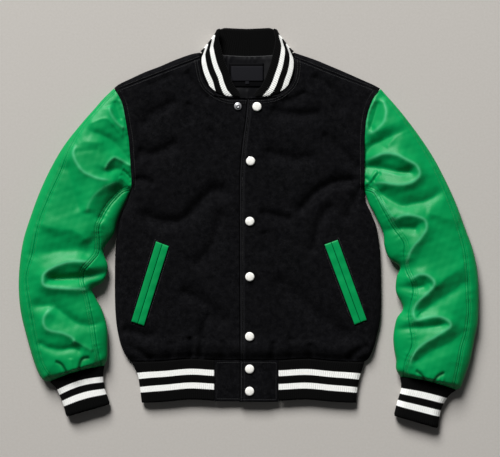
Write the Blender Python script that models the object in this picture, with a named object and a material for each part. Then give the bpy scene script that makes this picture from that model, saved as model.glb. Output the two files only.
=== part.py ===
"""Varsity jacket laid out flat, front up, snaps closed but for the one at the neck.

Row frame: +X runs to the wearer's left, +Y towards the collar, +Z up from the surface the
jacket lies on. Lengths are millimetres until a mesh is made.

The laid garment is two sheets that meet at its folds. A point of either sheet depends only on
its place in plan: how far it is from the nearest fold, how high the cloth stands there, and the
creases near it. Every cut piece is a stretch of those sheets, given a wall on its inner side.
"""

import math

import bpy
import numpy as np

MM = 0.001

# Walls
WOOL = 2.4
LEATHER = 2.0
RIB_KNIT = 3.0
SATIN = 1.0
SEAM_GAP = 0.4
HALF_GAP = SEAM_GAP / 2
CORNER_INSET = 0.9  # where three or four pieces meet, each corner is trimmed by this much

# How the laid cloth stands: height of the upper sheet, height of the fold at its edge, and the
# widths over which the upper and the lower sheet turn into that fold
BODY_LAY = {"crown": 18.0, "fold": 6.5, "roll": 26.0, "under": 8.5}
SLEEVE_LAY = {"crown": 37.0, "fold": 14.0, "roll": 56.0, "under": 18.0}
CUFF_LAY = {"crown": 19.0, "fold": 8.0, "roll": 17.0, "under": 10.0}
HEM_LAY = {"crown": 13.5, "fold": 6.5, "roll": 14.0, "under": 8.5}
SLEEVE_RISE = 75.0  # from the armhole to where the sleeve stands at its full height
CUFF_PINCH = 24.0  # the sleeve is gathered down to its cuff over this length
HEM_PINCH = 16.0
HEM_BLOUSE = 4.0  # how far the body bulges over its rib
HEM_BLOUSE_AT = 26.0
HEM_BLOUSE_WIDTH = 14.0
SIDE_SEAM_FADE = (120.0, 220.0)  # front and back part in the side seam below, in no seam above
OVERLAP_LIFT = WOOL + 0.6  # the left front lies on the right one
OVERLAP_MARGIN = 10.0  # it stays raised this far past the right one's edge
OVERLAP_SLOPE = 26.0

# Widths that the shares across each piece are laid out for
FRONT_WIDTH = 240.0
BACK_WIDTH = 490.0
SLEEVE_WIDTH = 150.0
CUFF_WIDTH = 100.0
HEM_WIDTH = 420.0

WELD = 0.001  # points this near to each other are one

# Points along each stretch of outline, and round a fold
CURVE_STEP = 3.0
CURVE_SPANS = 12
ROLL_TURNS = (0.0, 28.0, 56.0, 90.0)  # degrees
SIDE_ROWS = 13
ARMHOLE_ROWS = 9
SHOULDER_ROWS = 9
ARM_ROWS = 18
BAND_ROWS = 3
FRONT_COLUMNS = 9
BACK_COLUMNS = 5
SLEEVE_COLUMNS = 10
SLEEVE_UNDER_COLUMNS = 1
CUFF_UNDER_COLUMNS = 2
HEM_UNDER_COLUMNS = 4
TAB_COLUMNS = 8
SHOULDER_STRIP = (0.0, 0.15, 0.5, 1.0)  # shares across a narrow strip from its fold
SEAM_STRIP = (0.0, 0.25, 1.0)

# Knitted bands
RIB_PITCH = 4.0
RIB_RELIEF = 0.6

# Hem band and front tabs
HEM_SEAM_Y = -250.3
HEM_SEAM_DROP = 3.2  # lower at the side folds than at the front
HEM_SIDE_X = 222.0
HEM_BAND_DROP = 2.9
HEM_LEVEL_OVER = 60.0  # the back's rows level out over this length above the hem seam
TAB_RIGHT_X = (-64.6, 20.5)
TAB_LEFT_X = (-17.3, 56.8)
TAB_RIGHT_Y = -328.4
TAB_LEFT_Y = -329.4

# Snaps, each a profile of (radius, height) from its base up
CAP_RADIUS = 8.6
CAP_HEIGHT = 3.6
CAP_PROFILE = (
    (CAP_RADIUS - 0.7, 0.0),
    (CAP_RADIUS, 0.9),
    (CAP_RADIUS - 0.5, 2.1),
    (CAP_RADIUS - 3.3, CAP_HEIGHT - 0.4),
    (CAP_RADIUS - 6.4, CAP_HEIGHT),
)
STUD_RADIUS = 7.2
STUD_POST = 3.4
STUD_PROFILE = (
    (STUD_RADIUS, 0.0),
    (STUD_RADIUS, 0.8),
    (STUD_POST, 1.2),
    (STUD_POST, 3.0),
    (STUD_POST - 0.9, 3.4),
    (STUD_POST - 1.7, 3.3),
    (STUD_POST - 2.0, 1.8),
)
SNAP_SIDES = 16
SNAP_BEARINGS = 12

# Plan outlines, each a curve through (x, y) points. "right" and "left" are the wearer's.
SHOULDER_FOLD = {
    "right": ((-93, 334), (-109, 331), (-140, 320), (-168, 308), (-197, 297), (-223, 285),
              (-246, 274), (-256, 266)),
    "left": ((87, 334), (102, 329), (128, 320), (157, 308), (183, 297), (210, 285), (235, 274), (249, 266)),
}
SHOULDER_WRAP = 6.0  # how far down the armhole the back reaches over the shoulder
SHOULDER_SEAM = {"right": ((-168, 294), (-92, 323)), "left": ((170, 290), (87, 323))}
ARMHOLE = {
    "right": ((-256, 266), (-246, 251), (-239, 236), (-235, 217), (-231, 194), (-227, 168),
              (-225, 141), (-223, 111), (-222, 88), (-223, 73)),
    "left": ((249, 266), (238, 251), (232, 238), (226, 221), (222, 198), (220, 168), (220, 139), (220, 111),
             (220, 88), (220, 73)),
}
BODY_SIDE = {
    "right": ((-223, 73), (-230, 50), (-238, 35), (-244, 21), (-248, 4), (-252, -28), (-254, -68),
              (-254, -136), (-252, -174), (-248, -201), (-242, -224), (-233, -243), (-224, -253)),
    "left": ((220, 73), (224, 48), (232, 32), (237, 19), (244, 0), (250, -41), (252, -98), (252, -155),
             (249, -184), (244, -205), (238, -228), (229, -247), (221, -253)),
}
FRONT_EDGE = {
    "right": ((21, -250), (21, -22), (20, 69), (15, 149), (7, 206), (2, 247)),
    "left": ((-17, -250), (-18, -3), (-18, 92), (-14, 152), (-7, 206), (-3, 247)),
}
NECKLINE = {
    "right": ((2, 247), (-16, 247), (-35, 247), (-52, 252), (-66, 260), (-77, 270), (-84, 282), (-88, 297),
              (-91, 312), (-92, 323)),
    "left": ((-3, 247), (20, 247), (39, 249), (56, 254), (69, 263), (80, 274), (86, 289), (88, 308),
             (87, 323)),
}
BACK_NECKLINE_DIP = 6.5
SLEEVE_OUTER = {
    "right": ((-256, 266), (-275, 251), (-294, 228), (-314, 206), (-349, 160), (-375, 114),
              (-396, 69), (-413, 23), (-427, -22), (-434, -68), (-436, -114), (-432, -159),
              (-421, -205), (-408, -250), (-396, -273), (-377, -291)),
    "left": ((249, 266), (282, 228), (318, 183), (349, 137), (373, 92), (394, 46), (411, 0),
             (427, -45), (436, -98), (436, -171), (430, -205), (421, -250), (409, -281), (394, -307)),
}
SLEEVE_INNER = {
    "right": ((-224, 72), (-235, 48), (-243, 31), (-250, 12), (-256, -11), (-272, -34), (-275, -47),
              (-267, -70), (-269, -87), (-277, -103), (-296, -115), (-290, -132), (-277, -157),
              (-268, -190), (-267, -228), (-268, -247), (-274, -261)),
    "left": ((221, 72), (229, 46), (238, 30), (246, 12), (256, -11), (258, -34), (267, -57),
             (287, -74), (281, -93), (280, -121), (293, -151), (281, -172), (275, -203),
             (276, -228), (280, -250), (280, -267), (288, -282)),
}
OUTER_SEAM = {
    "right": ((-274, 245), (-290, 228), (-314, 196), (-337, 154), (-354, 109), (-375, 63),
              (-396, 10), (-408, -47), (-418, -81), (-420, -104), (-415, -136), (-409, -172),
              (-400, -220), (-389, -260), (-369, -288.7)),
    "left": ((265, 243), (290, 213), (320, 171), (339, 139), (356, 107), (375, 63), (392, 18), (408, -39),
             (414, -95), (415, -127), (416, -157), (411, -197), (402, -228), (396, -262), (387, -305.3)),
}
INNER_SEAM = {
    "right": ((-224, 72), (-240, 66), (-263, 40), (-278, 12), (-282, -5), (-281, -24), (-283, -47),
              (-295, -64), (-310, -82), (-312, -98), (-306, -117), (-300, -142), (-292, -182),
              (-286, -220), (-281, -247), (-280, -263)),
    "left": ((221, 72), (238, 65), (252, 37), (269, 6), (283, -13), (293, -30), (293, -55),
             (297, -79), (305, -98), (311, -117), (306, -142), (301, -165), (306, -193),
             (308, -220), (298, -245), (293, -266), (295, -283.6)),
}
CUFF_SEAM_BOW = 5.0  # the cuff seam bows towards the elbow
CUFF_SEAM_BOW_OVER = 60.0
CAP_MATCH = {"right": (-337, 154), "left": (333, 150)}  # on the outer seam, across from the armpit
FOLD_MATCH = {"right": (-347, 162), "left": (343, 146)}  # the same on the outer fold
CUFF_SIDES = {
    "right": {
        "outer": ((-377, -292.2), (-364, -307), (-352, -336), (-346, -358)),
        "inner": ((-274, -262.2), (-276, -279), (-273, -304), (-263, -334)),
    },
    "left": {
        "outer": ((394, -308.2), (379, -319), (364, -345), (357, -379)),
        "inner": ((288, -283.2), (290, -304), (282, -332), (276, -356)),
    },
}
HEM_BAND_SIDES = {
    "right": ((-223, -253.9), (-218, -262), (-210, -279), (-206, -305), (-203, -330)),
    "left": ((221, -253.9), (218, -262), (212, -279), (207, -305), (205, -330)),
}

# Largest creases: a soft stroke from start past bend to end, half as wide as its "width",
# raised by "rise" or sunk where that is negative
CREASE_COLUMNS = ("start_x", "start_y", "bend_x", "bend_y", "end_x", "end_y", "width", "rise")
CREASES = (
    # right sleeve, from cap to cuff
    (-268, 249, -250, 222, -237, 196, 12, 4),
    (-322, 205, -300, 190, -276, 186, 22, -7),
    (-331, 148, -332, 100, -272, 90, 13, 7),
    (-268, 140, -256, 146, -234, 128, 9, 5),
    (-264, 122, -252, 112, -240, 106, 9, -5),
    (-248, 84, -276, 56, -300, 34, 16, -10),
    (-360, 66, -352, 30, -356, -6, 24, 4),
    (-386, -7, -336, -14, -292, -50, 17, -8),
    (-305, -62, -356, -64, -393, -98, 9, 8),
    (-392, -98, -386, -120, -301, -116, 9, 7),
    (-380, -96, -330, -88, -276, -80, 12, -10),
    (-408, -130, -372, -142, -334, -142, 13, -7),
    (-377, -165, -400, -200, -331, -220, 12, 6),
    (-404, -210, -372, -228, -344, -232, 13, -6),
    (-366, -258, -360, -266, -350, -280, 6, -5),
    (-312, -248, -318, -258, -324, -270, 6, -5),
    # left sleeve
    (248, 232, 262, 202, 236, 184, 11, 4),
    (240, 226, 240, 207, 236, 190, 8, -4),
    (307, 186, 262, 168, 232, 132, 12, 5),
    (228, 132, 300, 160, 328, 106, 12, 9),
    (326, 104, 312, 76, 242, 82, 10, 7),
    (240, 128, 280, 124, 306, 118, 10, -8),
    (240, 72, 256, 44, 276, 20, 11, 5),
    (256, 60, 310, 78, 362, 58, 15, -8),
    (276, 48, 320, 28, 366, 34, 20, 4),
    (278, 14, 350, 30, 322, -44, 11, 8),
    (284, 8, 306, 0, 328, -2, 10, -6),
    (384, -2, 350, -40, 312, -88, 15, -9),
    (378, -10, 384, -60, 372, -96, 20, 4),
    (314, -93, 372, -90, 330, -142, 11, 8),
    (330, -146, 340, -180, 372, -170, 11, 5),
    (372, -170, 388, -192, 314, -250, 11, 6),
    (316, -106, 336, -106, 350, -104, 8, -6),
    (324, -130, 350, -150, 380, -160, 11, -7),
    (330, -184, 354, -178, 382, -184, 10, -5),
    (330, -270, 332, -280, 334, -287, 6, -5),
    (362, -284, 352, -290, 346, -300, 6, -5),
    # body: the sides hang in long shallow troughs and gather at the hem
    (-202, 92, -196, 84, -180, 88, 13, -2.6),
    (-198, 34, -130, 6, -60, 66, 15, -3),
    (-54, 34, -76, -24, -96, -72, 14, -2.4),
    (-122, -122, -86, -142, -48, -182, 13, -2.4),
    (-198, 160, -166, 158, -134, 166, 15, -2),
    (-112, -212, -110, -228, -108, -246, 9, -3),
    (-94, -214, -90, -230, -88, -246, 9, -3),
    (-222, -228, -204, -238, -190, -246, 9, -3),
    (208, 94, 152, 84, 98, 42, 15, -3),
    (216, 72, 186, 34, 174, 8, 12, -2.6),
    (156, 38, 132, 4, 120, -40, 13, -2.4),
    (66, -98, 128, -150, 192, -212, 16, -3),
    (62, 230, 90, 218, 132, 228, 14, -2),
    (52, 132, 76, 142, 108, 150, 14, -2),
    (50, -214, 52, -230, 53, -246, 9, -3),
    (88, -216, 90, -230, 92, -246, 9, -3),
    (226, -226, 206, -238, 194, -246, 9, -3),
)
STROKE_STEPS = 14
STROKE_FADE = 0.22  # share of a stroke over which it comes and goes at each end

# Collar band, a row per section from a front end to the shoulder: its sewn and its free edge,
# and the height of the free edge
COLLAR_COLUMNS = ("sewn_x", "sewn_y", "free_x", "free_y", "free_z")
COLLAR_FRONT = {
    "right": ((-18, 248.4, -14.5, 252, 18.0), (-34.6, 249.2, -20, 261, 18.5),
              (-50.8, 253.8, -28, 270, 19.5), (-65, 261.3, -33, 285, 20.0),
              (-75.8, 271, -37, 301, 20.5), (-82.6, 282.6, -42, 312, 21.0),
              (-87, 297, -46, 325, 21.5), (-89.8, 312, -50, 341, 21.5), (-90.4, 322, -54, 356, 20.5)),
    "left": ((15, 248.4, 9, 252, 20.9), (37.6, 250.4, 16, 260, 20.4), (54.4, 255.4, 25, 270, 20.0),
             (67.8, 264, 31, 285, 20.0), (78.6, 275, 36, 301, 20.5), (84.4, 289.5, 40, 314, 21.0),
             (86.4, 303, 43, 328, 21.5), (86.6, 314, 46, 343, 21.5), (85.6, 323, 49, 357, 20.5)),
}
COLLAR_FOLD = {
    "right": {"sewn": (-91, 336.5), "free": (-60, 377)},
    "left": {"sewn": (86, 336.5), "free": (54, 377)},
}
COLLAR_FOLD_TURNS = (90, 60, 25, -10, -50, -90)  # degrees, from facing up to facing down
COLLAR_FOLD_WIDTH = {"sewn": 3.6, "free": 7.0}
COLLAR_BACK = {
    "right": ((-66, 332.0, -46, 379.0, 2.2), (-40, 329.8, -28, 378.0, 2.4)),
    "left": ((61, 332.0, 40, 379.0, 2.2), (34, 329.8, 22, 378.0, 2.4)),
}
COLLAR_BACK_CENTRE = (-3, 328.4, -3, 377.0, 2.4)
COLLAR_BACK_SECTIONS = 9
COLLAR_UNDERSIDE = 0.3  # the back of the band lies this far off the surface
COLLAR_BULGE = 1.6
COLLAR_SEAM_RISE = 0.2
COLLAR_FOLD_SINK = 1.0  # the side fold starts this far below the sewn edge in front
COLLAR_FACE_DOWN = -0.9  # a section whose normal points lower than this lies face down

# Hand pockets: outer top, inner top, inner bottom and outer bottom corners of the pair of welts
POCKET_CORNERS = {
    "right": ((-175, -25), (-151, -34), (-198, -185), (-222, -177)),
    "left": ((169, -22), (144, -31), (201, -183), (224, -174)),
}
WELT_WALL = 1.8
WELT_SLIT = 0.7
WELT_CROWN = 0.5
WELT_ROWS = 10

# Snap caps on the left front and its hem tab, and the stud on the right front at the neck
CAP_PLACES = ((16, 230), (4, 127), (2.5, 13), (2.5, -92), (2.1, -205), (2.1, -267), (2.1, -309))
STUD_PLACE = (-20, 231)

# What shows through the neck
LINING_TOP_X = (-78, 72)
LINING_TOP_Y = 325.6
LINING_BOTTOM_X = (-66, 60)
LINING_BOTTOM_Y = 222.0
LINING_PUCKERS = 7
LINING_PUCKER_RISE = 1.2
PATCH_BOX = ((-37, 269), (29, 314))
LABEL_BOX = ((-33, 280), (28, 308))
TAG_BOX = ((-6, 274), (1, 279.4))
LINING_ROWS = (0.0, 0.12, 0.3, 1.0)
LINING_PUCKER_FADE = 0.125  # share of its height over which the gathers flatten out
TRIM_WALL = 0.8
LABEL_LIFT = 0.4

MATERIALS = {
    "wool": ((0.012, 0.012, 0.013), 0.95, 0.0),
    "leather": ((0.0, 0.33, 0.105), 0.42, 0.0),
    "rib": ((0.010, 0.010, 0.011), 0.90, 0.0),
    "satin": ((0.028, 0.028, 0.030), 0.45, 0.0),
    "label": ((0.018, 0.018, 0.019), 0.75, 0.0),
    "cap": ((0.86, 0.86, 0.84), 0.25, 0.0),
    "stud": ((0.55, 0.55, 0.56), 0.30, 1.0),
}


# ---------------------------------------------------------------- curves in plan


def ease(value):
    """0 below 0, 1 above 1, smooth between."""
    value = np.clip(value, 0.0, 1.0)
    return value * value * (3.0 - 2.0 * value)


def even(line, count):
    """The polyline again, with this many points evenly along it."""
    run = np.concatenate([[0.0], np.cumsum(np.linalg.norm(np.diff(line, axis=0), axis=1))])
    at = np.linspace(0.0, run[-1], count)
    return np.stack([np.interp(at, run, line[:, k]) for k in range(line.shape[1])], axis=1)


def curve(points):
    """A Catmull-Rom curve through the points, with a point every CURVE_STEP."""
    points = np.array(points, float)
    padded = np.vstack([2 * points[0] - points[1], points, 2 * points[-1] - points[-2]])
    a, b, c, d = padded[:-3, None], padded[1:-2, None], padded[2:-1, None], padded[3:, None]
    t = np.linspace(0.0, 1.0, CURVE_SPANS, endpoint=False)[None, :, None]
    bent = (2 * a - 5 * b + 4 * c - d) * t**2 + (3 * b - a - 3 * c + d) * t**3
    line = np.vstack([(0.5 * (2 * b + (c - a) * t + bent)).reshape(-1, points.shape[1]), points[-1]])
    length = np.linalg.norm(np.diff(line, axis=0), axis=1).sum()
    return even(line, max(3, int(math.ceil(length / CURVE_STEP)) + 1))


def nearest(xy, line):
    """Distance from each point to a polyline, the place along it as a share, and the way there."""
    start, step = line[:-1], np.diff(line, axis=0)
    gap = xy[:, None] - start
    along = np.clip((gap * step).sum(-1) / np.maximum((step**2).sum(-1), 1e-9), 0.0, 1.0)
    off = gap - along[..., None] * step
    far = np.hypot(off[..., 0], off[..., 1])
    span = far.argmin(axis=1)
    rows = np.arange(len(xy))
    return far[rows, span], (span + along[rows, span]) / len(step), -off[rows, span]


def shifted(line, amount):
    """The curve moved sideways, to the left of its own direction."""
    ahead = np.gradient(line, axis=0)
    ahead /= np.maximum(np.linalg.norm(ahead, axis=1, keepdims=True), 1e-9)
    return line + amount * np.stack([-ahead[:, 1], ahead[:, 0]], axis=1)


def cut_at(line, place):
    """The curve in two, at its point nearest to a place."""
    k = int(np.linalg.norm(line - np.array(place, float), axis=1).argmin())
    return line[: k + 1], line[k:]


def shortened(line):
    """The curve without its first CORNER_INSET."""
    return np.vstack([line[0] + (line[1] - line[0]) * CORNER_INSET / CURVE_STEP, line[1:]])


def stitched(line, rows, away=0.0):
    """So many points evenly along a seam, then moved from it, to the left of its direction."""
    return shifted(even(line, rows), away)


def inset(corner, first, second):
    """A piece's corner, moved in between the two seams that meet there."""
    into = sum((at - corner) / np.linalg.norm(at - corner) for at in (first, second))
    return corner + CORNER_INSET * into / np.linalg.norm(into)


def ended(first, line, last=None):
    """The line with another first point and, if one is given, another last point."""
    return np.vstack([[first], line[1:]] if last is None else [[first], line[1:-1], [last]])


def armhole_below(side):
    """The armhole in front, from the shoulder seam and the sleeve's outer seam to the armpit."""
    return curve(ARMHOLE[side])[int(round(SHOULDER_WRAP / CURVE_STEP)) :]


def from_corner(side, points):
    """A seam that starts on the armhole in front."""
    return curve(np.vstack([armhole_below(side)[0], points]))


# ---------------------------------------------------------------- the two laid sheets


def fold_edges():
    """The folds that bound the body and each sleeve, with the side on which the outside lies."""
    edges = {"body": []}
    for side, turn in (("right", 1.0), ("left", -1.0)):
        edges["body"] += [(curve(SHOULDER_FOLD[side]), turn), (curve(BODY_SIDE[side]), turn)]
        edges[side] = [(curve(SLEEVE_OUTER[side]), turn), (curve(SLEEVE_INNER[side]), -turn)]
    return edges


FOLDS = fold_edges()


def from_fold(xy, region):
    """Distance in from the region's nearest fold, and the direction out to it."""
    reach = np.full(len(xy), np.inf)
    outward = np.zeros((len(xy), 2))
    for line, turn in FOLDS[region]:
        far, share, way = nearest(xy, line)
        ahead = np.gradient(line, axis=0)
        normal = turn * np.stack([ahead[:, 1], -ahead[:, 0]], axis=1)
        normal /= np.linalg.norm(normal, axis=1, keepdims=True)
        at = share * (len(line) - 1)
        across = np.stack([np.interp(at, np.arange(len(line)), normal[:, k]) for k in (0, 1)], axis=1)
        way = way + across
        closer = far < reach
        reach[closer] = far[closer]
        outward[closer] = (way / np.linalg.norm(way, axis=1, keepdims=True))[closer]
    return reach, outward


def creases(xy):
    """Sum of the soft strokes at each point, in millimetres."""
    total = np.zeros(len(xy))
    share = np.linspace(0.0, 1.0, STROKE_STEPS)[:, None]
    for row in CREASES:
        stroke = dict(zip(CREASE_COLUMNS, row))
        ends = [np.array([stroke[f"{k}_x"], stroke[f"{k}_y"]]) for k in ("start", "bend", "end")]
        start, bend, end = ends
        line = start * (1 - share) ** 2 + 2 * bend * share * (1 - share) + end * share**2
        far, along, _ = nearest(xy, line)
        fade = ease(along / STROKE_FADE) * ease((1 - along) / STROKE_FADE)
        total += stroke["rise"] * fade * np.exp(-((far / stroke["width"]) ** 2))
    return total


def mix(low, high, share):
    return low + (high - low) * share


def stance(xy, region):
    """How the cloth stands at each point: crown, fold, roll and under, as in the lays above, and
    gap, by which the upper and the lower sheet part at the fold."""
    keys = ("crown", "fold", "roll", "under")
    if region == "body":
        lay = {k: np.full(len(xy), BODY_LAY[k]) for k in keys}
        above = xy[:, 1] - hem_seam_y(xy[:, 0])
        lay["crown"] = mix(HEM_LAY["crown"], lay["crown"], ease(above / HEM_PINCH))
        lay["crown"] += HEM_BLOUSE * np.exp(-(((above - HEM_BLOUSE_AT) / HEM_BLOUSE_WIDTH) ** 2))
        seamless = ease((xy[:, 1] - SIDE_SEAM_FADE[0]) / (SIDE_SEAM_FADE[1] - SIDE_SEAM_FADE[0]))
        return {**lay, "gap": HALF_GAP * (1.0 - seamless)}
    rise = ease(nearest(xy, curve(ARMHOLE[region]))[0] / SLEEVE_RISE)
    end = ease(nearest(xy, cuff_seam(region))[0] / CUFF_PINCH)
    lay = {k: mix(CUFF_LAY[k], mix(BODY_LAY[k], SLEEVE_LAY[k], rise), end) for k in keys}
    return {**lay, "gap": np.zeros(len(xy))}


def hem_seam_y(x):
    return HEM_SEAM_Y - HEM_SEAM_DROP * np.abs(x) / HEM_SIDE_X


def cuff_seam(side):
    """The straight line across a wrist, from the outer to the inner fold."""
    return np.array([CUFF_SIDES[side][k][0] for k in ("outer", "inner")], float)


def overlap_lift(xy):
    """How far the left front is raised where the right front lies under it."""
    edge = curve(FRONT_EDGE["right"])
    past = xy[:, 0] - np.interp(xy[:, 1], edge[:, 1], edge[:, 0])
    return OVERLAP_LIFT * (1.0 - ease((past - OVERLAP_MARGIN) / OVERLAP_SLOPE))


def sheet(xy, region, side, lift=None):
    """Points and outward normals of the upper (side 1) or lower (side -1) sheet over a plan grid.

    turn is 1 on the fold and 0 where the sheet lies free of it, and the section between is a
    quarter of an ellipse.
    """
    shape = xy.shape[:-1]
    xy = xy.reshape(-1, 2)
    reach, outward = from_fold(xy, region)
    lay = stance(xy, region)
    turn = np.clip(1.0 - reach / (lay["roll"] if side > 0 else lay["under"]), 0.0, 1.0)
    rise = np.sqrt(1.0 - turn**2)
    slope = np.zeros((len(xy), 2))
    low = lay["fold"] + side * lay["gap"]
    if side > 0:

        def top(at):
            return stance(at, region)["crown"] + creases(at) + (lift(at) if lift else 0.0)

        for k, step in enumerate(np.eye(2)):
            slope[:, k] = (top(xy + step) - top(xy - step)) / 2.0
        z = low + (top(xy) - low) * rise
    else:
        z = low * (1.0 - rise)
    normal = np.column_stack([outward * turn[:, None] - slope * rise[:, None], side * rise])
    normal /= np.linalg.norm(normal, axis=1, keepdims=True)
    return np.column_stack([xy, z]).reshape(*shape, 3), normal.reshape(*shape, 3)


# ---------------------------------------------------------------- plan grids


def between(first, second, shares, dip=0.0):
    """A plan grid whose rows run from one line to the other; the last row dips by so much."""
    shares = np.asarray(shares, float)[None, :, None]
    grid = first[:, None] + (second - first)[:, None] * shares
    sag = 4 * shares * (1 - shares) * np.linspace(0.0, 1.0, len(first))[:, None, None] ** 3
    return grid - dip * sag * np.array([0.0, 1.0])


def stacked(*grids):
    """Grids one above the other, whose last and first rows are the same."""
    return np.concatenate([grids[0]] + [g[1:] for g in grids[1:]])


def rolled_shares(width, roll, count, both=False):
    """Shares across a width, close together where the cloth turns into its fold."""
    turn = roll * (1 - np.cos(np.radians(ROLL_TURNS))) / width
    if both:
        return np.concatenate([turn, np.linspace(turn[-1], 1 - turn[-1], count + 2)[1:-1], 1 - turn[::-1]])
    return np.concatenate([turn, np.linspace(turn[-1], 1.0, count + 1)[1:]])


def cuff_bowed(xy, side):
    """Plan points of a sleeve, moved so that its end follows the bowed cuff seam."""
    line = cuff_seam(side)
    step = line[1] - line[0]
    share = np.clip(((xy - line[0]) * step).sum(-1) / (step**2).sum(), 0.0, 1.0)
    away = nearest(xy.reshape(-1, 2), line)[0].reshape(share.shape)
    bow = CUFF_SEAM_BOW * 4 * share * (1 - share) * (1 - ease(away / CUFF_SEAM_BOW_OVER))
    return xy + bow[..., None] * np.array([0.0, 1.0])


def hem_levelled(xy):
    """Plan points of the back, moved so that its lowest row follows the hem seam."""
    above = xy[..., 1] - hem_seam_y(xy[..., 0])
    rise = HEM_SEAM_DROP * np.clip(1 - np.abs(xy[..., 0]) / HEM_SIDE_X, 0.0, 1.0)
    return xy + (rise * (1 - ease(above / HEM_LEVEL_OVER)))[..., None] * np.array([0.0, 1.0])


# ---------------------------------------------------------------- solids


def material(name):
    colour, roughness, metallic = MATERIALS[name]
    made = bpy.data.materials.get(name) or bpy.data.materials.new(name)
    made.use_nodes = True
    made.diffuse_color = (*colour, 1.0)
    shader = made.node_tree.nodes["Principled BSDF"]
    shader.inputs["Base Color"].default_value = (*colour, 1.0)
    shader.inputs["Roughness"].default_value = roughness
    shader.inputs["Metallic"].default_value = metallic
    return made


def add_object(name, points, faces, finish):
    mesh = bpy.data.meshes.new(name)
    mesh.from_pydata((np.asarray(points) * MM).tolist(), [], faces)
    mesh.shade_smooth()
    mesh.set_sharp_from_angle(angle=math.radians(50))
    mesh.materials.append(material(finish))
    made = bpy.data.objects.new(name, mesh)
    bpy.context.collection.objects.link(made)
    return made


def welded(grids):
    """The grids' points and normals as one list, with shared edges merged, and their faces."""
    points, normals, faces, count = [], [], [], 0
    for place, normal in grids:
        rows, columns = place.shape[:2]
        index = np.arange(rows * columns).reshape(rows, columns) + count
        down, across = np.diff(place, axis=0)[:, :-1], np.diff(place, axis=1)[:-1]
        if (np.cross(across, down) * normal[:-1, :-1]).sum() < 0:
            index = index[:, ::-1]
        corners = (index[:-1, :-1], index[:-1, 1:], index[1:, 1:], index[1:, :-1])
        faces += np.stack(corners, axis=-1).reshape(-1, 4).tolist()
        points.append(place.reshape(-1, 3))
        normals.append(normal.reshape(-1, 3))
        count += rows * columns
    points, normals = np.concatenate(points), np.concatenate(normals)
    places = np.round(points / WELD).astype(np.int64)
    _, first, merged = np.unique(places, axis=0, return_index=True, return_inverse=True)
    merged = merged.reshape(-1)
    kept = []
    for face in faces:
        ring = [int(merged[k]) for k in face]
        ring = [k for n, k in enumerate(ring) if k != ring[n - 1]]
        if len(set(ring)) > 2:
            kept.append(ring)
    return points[first], normals[first], kept


def wall(name, grids, thickness, finish):
    """A closed wall: the grids are its outer face, and the inner one follows it at the thickness."""
    points, normals, faces = welded(grids)
    inner = len(points)
    sides = {}
    for face in faces:
        for n, k in enumerate(face):
            sides[(face[n - 1], k)] = True
    rims = [[k, j, j + inner, k + inner] for j, k in sides if (k, j) not in sides]
    backs = [[k + inner for k in face[::-1]] for face in faces]
    used = np.vstack([points, points - thickness * normals])
    return add_object(name, used, faces + backs + rims, finish)


def turned(name, profile, place, finish):
    """A solid of revolution about a vertical axis: profile is (radius, height) from base to top."""
    angles = np.linspace(0.0, 2 * math.pi, SNAP_SIDES, endpoint=False)
    ring = np.stack([np.cos(angles), np.sin(angles)], axis=1)
    points = [np.column_stack([ring * radius, np.full(SNAP_SIDES, height)]) for radius, height in profile]
    points = np.vstack(points) + np.array(place)
    faces = [list(range(SNAP_SIDES))[::-1]]
    last = (len(profile) - 1) * SNAP_SIDES
    for start in range(0, last, SNAP_SIDES):
        for k in range(SNAP_SIDES):
            after = (k + 1) % SNAP_SIDES
            faces.append([start + k, start + after, start + SNAP_SIDES + after, start + SNAP_SIDES + k])
    faces.append([last + k for k in range(SNAP_SIDES)])
    return add_object(name, points, faces, finish)


# ---------------------------------------------------------------- body


def front_grid(side):
    """Plan of one front, from the hem up past the armhole to the tip at the neck."""
    into = HALF_GAP if side == "right" else -HALF_GAP
    level_with_armpit = (FRONT_EDGE[side][2][0], ARMHOLE[side][-1][1])
    edge_low, edge_high = cut_at(curve(FRONT_EDGE[side]), level_with_armpit)
    edge_low, edge_high = even(edge_low, SIDE_ROWS), even(edge_high, ARMHOLE_ROWS)
    fold = even(curve(BODY_SIDE[side]), SIDE_ROWS)[::-1]
    hole = stitched(armhole_below(side), ARMHOLE_ROWS, into)[::-1]
    shoulder = stitched(from_corner(side, SHOULDER_SEAM[side]), SHOULDER_ROWS, -into)
    neckline = stitched(curve(NECKLINE[side]), SHOULDER_ROWS, 2 * into)
    corner = inset(hole[-1], hole[-2], shoulder[1])
    shares = rolled_shares(FRONT_WIDTH, BODY_LAY["roll"], FRONT_COLUMNS)
    return stacked(
        between(fold, edge_low, shares),
        between(ended(fold[-1], hole, corner), edge_high, shares),
        between(ended(corner, shoulder), ended(edge_high[-1], neckline, shoulder[-1]), shares),
    )


def make_front(side):
    lift = overlap_lift if side == "left" else None
    wall(f"front_{side}", [sheet(front_grid(side), "body", 1, lift)], WOOL, "wool")


def make_back():
    """The back, with the strips of it that come over the shoulders to the seams in front."""
    across = rolled_shares(BACK_WIDTH, BODY_LAY["under"], BACK_COLUMNS, both=True)
    sides, holes, over, strips = [], [], [], []
    for side, into in (("right", HALF_GAP), ("left", -HALF_GAP)):
        sides.append(even(curve(BODY_SIDE[side]), SIDE_ROWS)[::-1])
        over.append(even(shortened(curve(SHOULDER_FOLD[side])[::-1]), SHOULDER_ROWS))
        hole = stitched(curve(ARMHOLE[side]), ARMHOLE_ROWS, into)
        holes.append(ended(over[-1][0], hole, sides[-1][-1])[::-1])
        seam = stitched(from_corner(side, SHOULDER_SEAM[side]), SHOULDER_ROWS, into)
        seam = ended(inset(seam[0], over[-1][0], seam[1]), seam)
        strips.append(sheet(between(over[-1], seam, SHOULDER_STRIP), "body", 1))
    low = hem_levelled(between(*sides, across))
    plan = stacked(low, between(*holes, across), between(*over, across, BACK_NECKLINE_DIP))
    wall("back_panel", [sheet(plan, "body", -1)] + strips, WOOL, "wool")


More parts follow.
